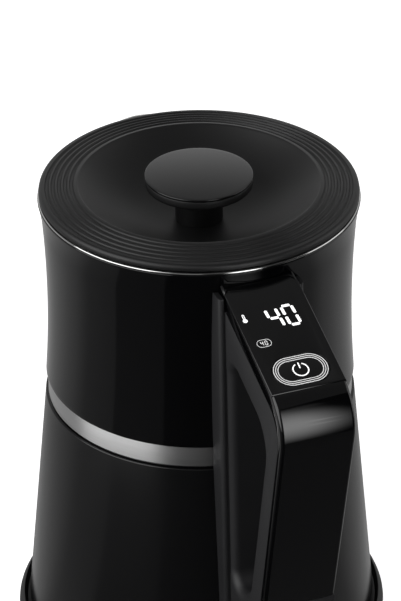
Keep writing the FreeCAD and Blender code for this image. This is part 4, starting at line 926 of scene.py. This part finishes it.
class KETTLE_OT_stage(bpy.types.Operator):
    """Sets up the pale floor, the white surroundings, the soft lamps and the camera"""
    bl_idname = "kettle.stage"
    bl_label = "Stage"

    def execute(self, context):
        scene = context.scene
        scene.view_settings.view_transform = "Standard"
        middle = Vector((0, 0, scene.kettle_body.lid_edge))
        deselect_all()
        bpy.ops.mesh.primitive_plane_add(size=FLOOR_SIZE)
        floor = context.object
        floor.name = "floor"
        floor.data.materials.append(floor_paper())
        surroundings(scene)
        for name, aside, elevation, distance, size, watts in LAMPS:
            toward = aim(CAMERA_AZIMUTH + aside, elevation)
            bpy.ops.object.light_add(type="AREA", location=middle + toward * distance)
            lamp = context.object
            lamp.name = name
            lamp.data.size = size
            lamp.data.energy = watts
            lamp.rotation_euler = toward.to_track_quat("Z", "Y").to_euler()
        toward = aim(CAMERA_AZIMUTH + SOFTBOX_ASIDE, SOFTBOX_ELEVATION)
        panel_low, panel_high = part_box("control_panel")
        bend = Vector((panel_high.x, 0, panel_low.z))
        deselect_all()
        bpy.ops.mesh.primitive_plane_add(size=SOFTBOX, location=bend + toward * SOFTBOX_DISTANCE,
                                         rotation=toward.to_track_quat("Z", "Y").to_euler())
        softbox = context.object
        softbox.name = "softbox"
        softbox.visible_camera = False
        softbox.data.materials.append(softbox_cloth())
        view = middle + aim(CAMERA_AZIMUTH, CAMERA_ELEVATION) * CAMERA_DISTANCE
        bpy.ops.object.camera_add(location=view)
        camera = context.object
        camera.data.lens = CAMERA_LENS
        camera.data.sensor_width = 36.0
        turn = Matrix.Rotation(math.radians(CAMERA_AZIMUTH + CAMERA_YAW), 3, "Z")
        tilt = Matrix.Rotation(math.radians(90 - CAMERA_ELEVATION - CAMERA_DIP), 3, "X")
        roll = Matrix.Rotation(math.radians(CAMERA_ROLL), 3, "Z")
        camera.rotation_euler = (turn @ tilt @ roll).to_euler()
        camera.data.clip_end = 50.0
        scene.camera = camera
        return {"FINISHED"}


def softbox_cloth():
    """The softbox's cloth: an upright strip that glows, fading up and down and to both of its sides."""
    material, tree, shader = finish("softbox cloth", (0, 0, 0, 1), 0.9)
    place = add(tree, "ShaderNodeTexCoord")
    split = add(tree, "ShaderNodeSeparateXYZ", {"Vector": (place, "Object")})
    height = add(tree, "ShaderNodeMath", {0: (split, "Y")}, operation="ABSOLUTE")
    fall = add(tree, "ShaderNodeMapRange", {"Value": (height, "Value")},
               {"From Min": 0.0, "From Max": SOFTBOX / 2, "To Min": STRIP_GLOW, "To Max": 0.0},
               interpolation_type="SMOOTHSTEP")
    shift = add(tree, "ShaderNodeMath", {0: (split, "X")}, {1: STRIP_SHIFT}, operation="ADD")
    offset = add(tree, "ShaderNodeMath", {0: (shift, "Value")}, operation="ABSOLUTE")
    side = add(tree, "ShaderNodeMapRange", {"Value": (offset, "Value")},
               {"From Min": STRIP_CORE, "From Max": STRIP_EDGE, "To Min": 1.0, "To Max": 0.0},
               interpolation_type="SMOOTHSTEP")
    glow = add(tree, "ShaderNodeMath", {0: (fall, "Result"), 1: (side, "Result")}, operation="MULTIPLY")
    shader.inputs["Emission Color"].default_value = (1, 1, 1, 1)
    tree.links.new(glow.outputs["Value"], shader.inputs["Emission Strength"])
    return material


def greys_round(tree, place, output, azimuth, steps):
    """Greys by the angle round the kettle, to either side of an azimuth, from steps of degrees and grey."""
    spot = {0: (place, output)}
    aside = add(tree, "ShaderNodeVectorMath", spot, {1: aim(azimuth + 90, 0)}, operation="DOT_PRODUCT")
    ahead = add(tree, "ShaderNodeVectorMath", spot, {1: aim(azimuth, 0)}, operation="DOT_PRODUCT")
    turn = add(tree, "ShaderNodeMath", {0: (aside, "Value"), 1: (ahead, "Value")}, operation="ARCTAN2")
    angle = add(tree, "ShaderNodeMath", {0: (turn, "Value")}, operation="ABSOLUTE")
    share = add(tree, "ShaderNodeMath", {0: (angle, "Value")}, {1: math.pi}, operation="DIVIDE")
    tones = add(tree, "ShaderNodeValToRGB", {"Fac": (share, "Value")})
    stops = tones.color_ramp.elements
    stops.remove(stops[1])
    for index, (degrees, grey) in enumerate(steps):
        stop = stops.new(degrees / 180) if index else stops[0]
        stop.position = degrees / 180
        stop.color = (grey, grey, grey, 1)
    return tones


def floor_paper():
    """White paper that keeps the shadow. In reflections it is dark in front and paler to the sides."""
    material, tree, shader = finish("white paper sweep", PAPER, 0.9)
    path = add(tree, "ShaderNodeLightPath")
    place = add(tree, "ShaderNodeTexCoord")
    tones = greys_round(tree, place, "Object", CAMERA_AZIMUTH, MIRRORED_FLOOR)
    seen = add(tree, "ShaderNodeMath", {0: (tones, "Color"), 1: (path, "Is Glossy Ray")},
               operation="MULTIPLY")
    glow = add(tree, "ShaderNodeMath", {0: (path, "Is Camera Ray"), 2: (seen, "Value")}, {1: PAPER_GLOW},
               operation="MULTIPLY_ADD")
    tone = add(tree, "ShaderNodeMix", {"Factor": (path, "Is Glossy Ray")}, data_type="RGBA")
    tone.inputs["A"].default_value = PAPER
    tone.inputs["B"].default_value = (0, 0, 0, 1)
    shader.inputs["Emission Color"].default_value = (1, 1, 1, 1)
    tree.links.new(tone.outputs["Result"], shader.inputs["Base Color"])
    tree.links.new(glow.outputs["Value"], shader.inputs["Emission Strength"])
    return material


def surroundings(scene):
    """White for the camera. In light and reflections: a bright wall behind the kettle, in a dim room."""
    world = bpy.data.worlds.new("studio room")
    scene.world = world
    world.use_nodes = True
    tree = world.node_tree
    shade = tree.nodes["Background"]
    path = add(tree, "ShaderNodeLightPath")
    place = add(tree, "ShaderNodeTexCoord")
    behind = greys_round(tree, place, "Generated", CAMERA_AZIMUTH + 180, BACK_WALL)
    split = add(tree, "ShaderNodeSeparateXYZ", {"Vector": (place, "Generated")})
    low = add(tree, "ShaderNodeMapRange", {"Value": (split, "Z")},
              {"From Min": WALL_FOOT, "From Max": WALL_TOP,
               "To Min": WALL_FOOT_LIGHT, "To Max": WALL_TOP_LIGHT})
    level = add(tree, "ShaderNodeMath", {0: (behind, "Color"), 1: (low, "Result")}, {2: ROOM_LIGHT},
                operation="MULTIPLY_ADD")
    light = add(tree, "ShaderNodeMath", {0: (level, "Value"), 1: (path, "Is Camera Ray")},
                operation="MAXIMUM")
    shade.inputs["Color"].default_value = (1, 1, 1, 1)
    tree.links.new(light.outputs["Value"], shade.inputs["Strength"])


class KETTLE_PT_sidebar(bpy.types.Panel):
    bl_idname = "KETTLE_PT_sidebar"
    bl_label = "Kettle"
    bl_space_type = "VIEW_3D"
    bl_region_type = "UI"
    bl_category = "Kettle"

    def draw(self, context):
        for group in GROUPS:
            settings = getattr(context.scene, group)
            for name in settings.__annotations__:
                self.layout.prop(settings, name)
        for operator in OPERATORS:
            self.layout.operator(operator.bl_idname)


GROUPS = {
    "kettle_body": KettleBodySizes,
    "kettle_lid": KettleLidSizes,
    "kettle_panel": KettlePanelSizes,
    "kettle_colours": KettleColours,
}
OPERATORS = (
    KETTLE_OT_stage,
    KETTLE_OT_lid,
    KETTLE_OT_knob,
    KETTLE_OT_collar,
    KETTLE_OT_shell,
    KETTLE_OT_spout,
    KETTLE_OT_handle,
    KETTLE_OT_panel,
    KETTLE_OT_power_key,
    KETTLE_OT_base,
    KETTLE_OT_inside,
)


def register():
    for name, group in GROUPS.items():
        bpy.utils.register_class(group)
        setattr(bpy.types.Scene, name, bpy.props.PointerProperty(type=group))
    for item in OPERATORS + (KETTLE_PT_sidebar,):
        bpy.utils.register_class(item)


def unregister():
    for item in OPERATORS + (KETTLE_PT_sidebar,):
        bpy.utils.unregister_class(item)
    for name, group in GROUPS.items():
        delattr(bpy.types.Scene, name)
        bpy.utils.unregister_class(group)


def main():
    register()
    finishes.update(make_finishes(bpy.context.scene.kettle_colours))
    bpy.ops.kettle.stage()
    bpy.ops.kettle.lid()
    bpy.ops.kettle.knob()
    bpy.ops.kettle.collar()
    bpy.ops.kettle.shell()
    bpy.ops.kettle.spout()
    bpy.ops.kettle.handle()
    bpy.ops.kettle.panel()
    bpy.ops.kettle.power_key()
    bpy.ops.kettle.base()
    bpy.ops.kettle.inside()


if __name__ == "__main__":
    main()
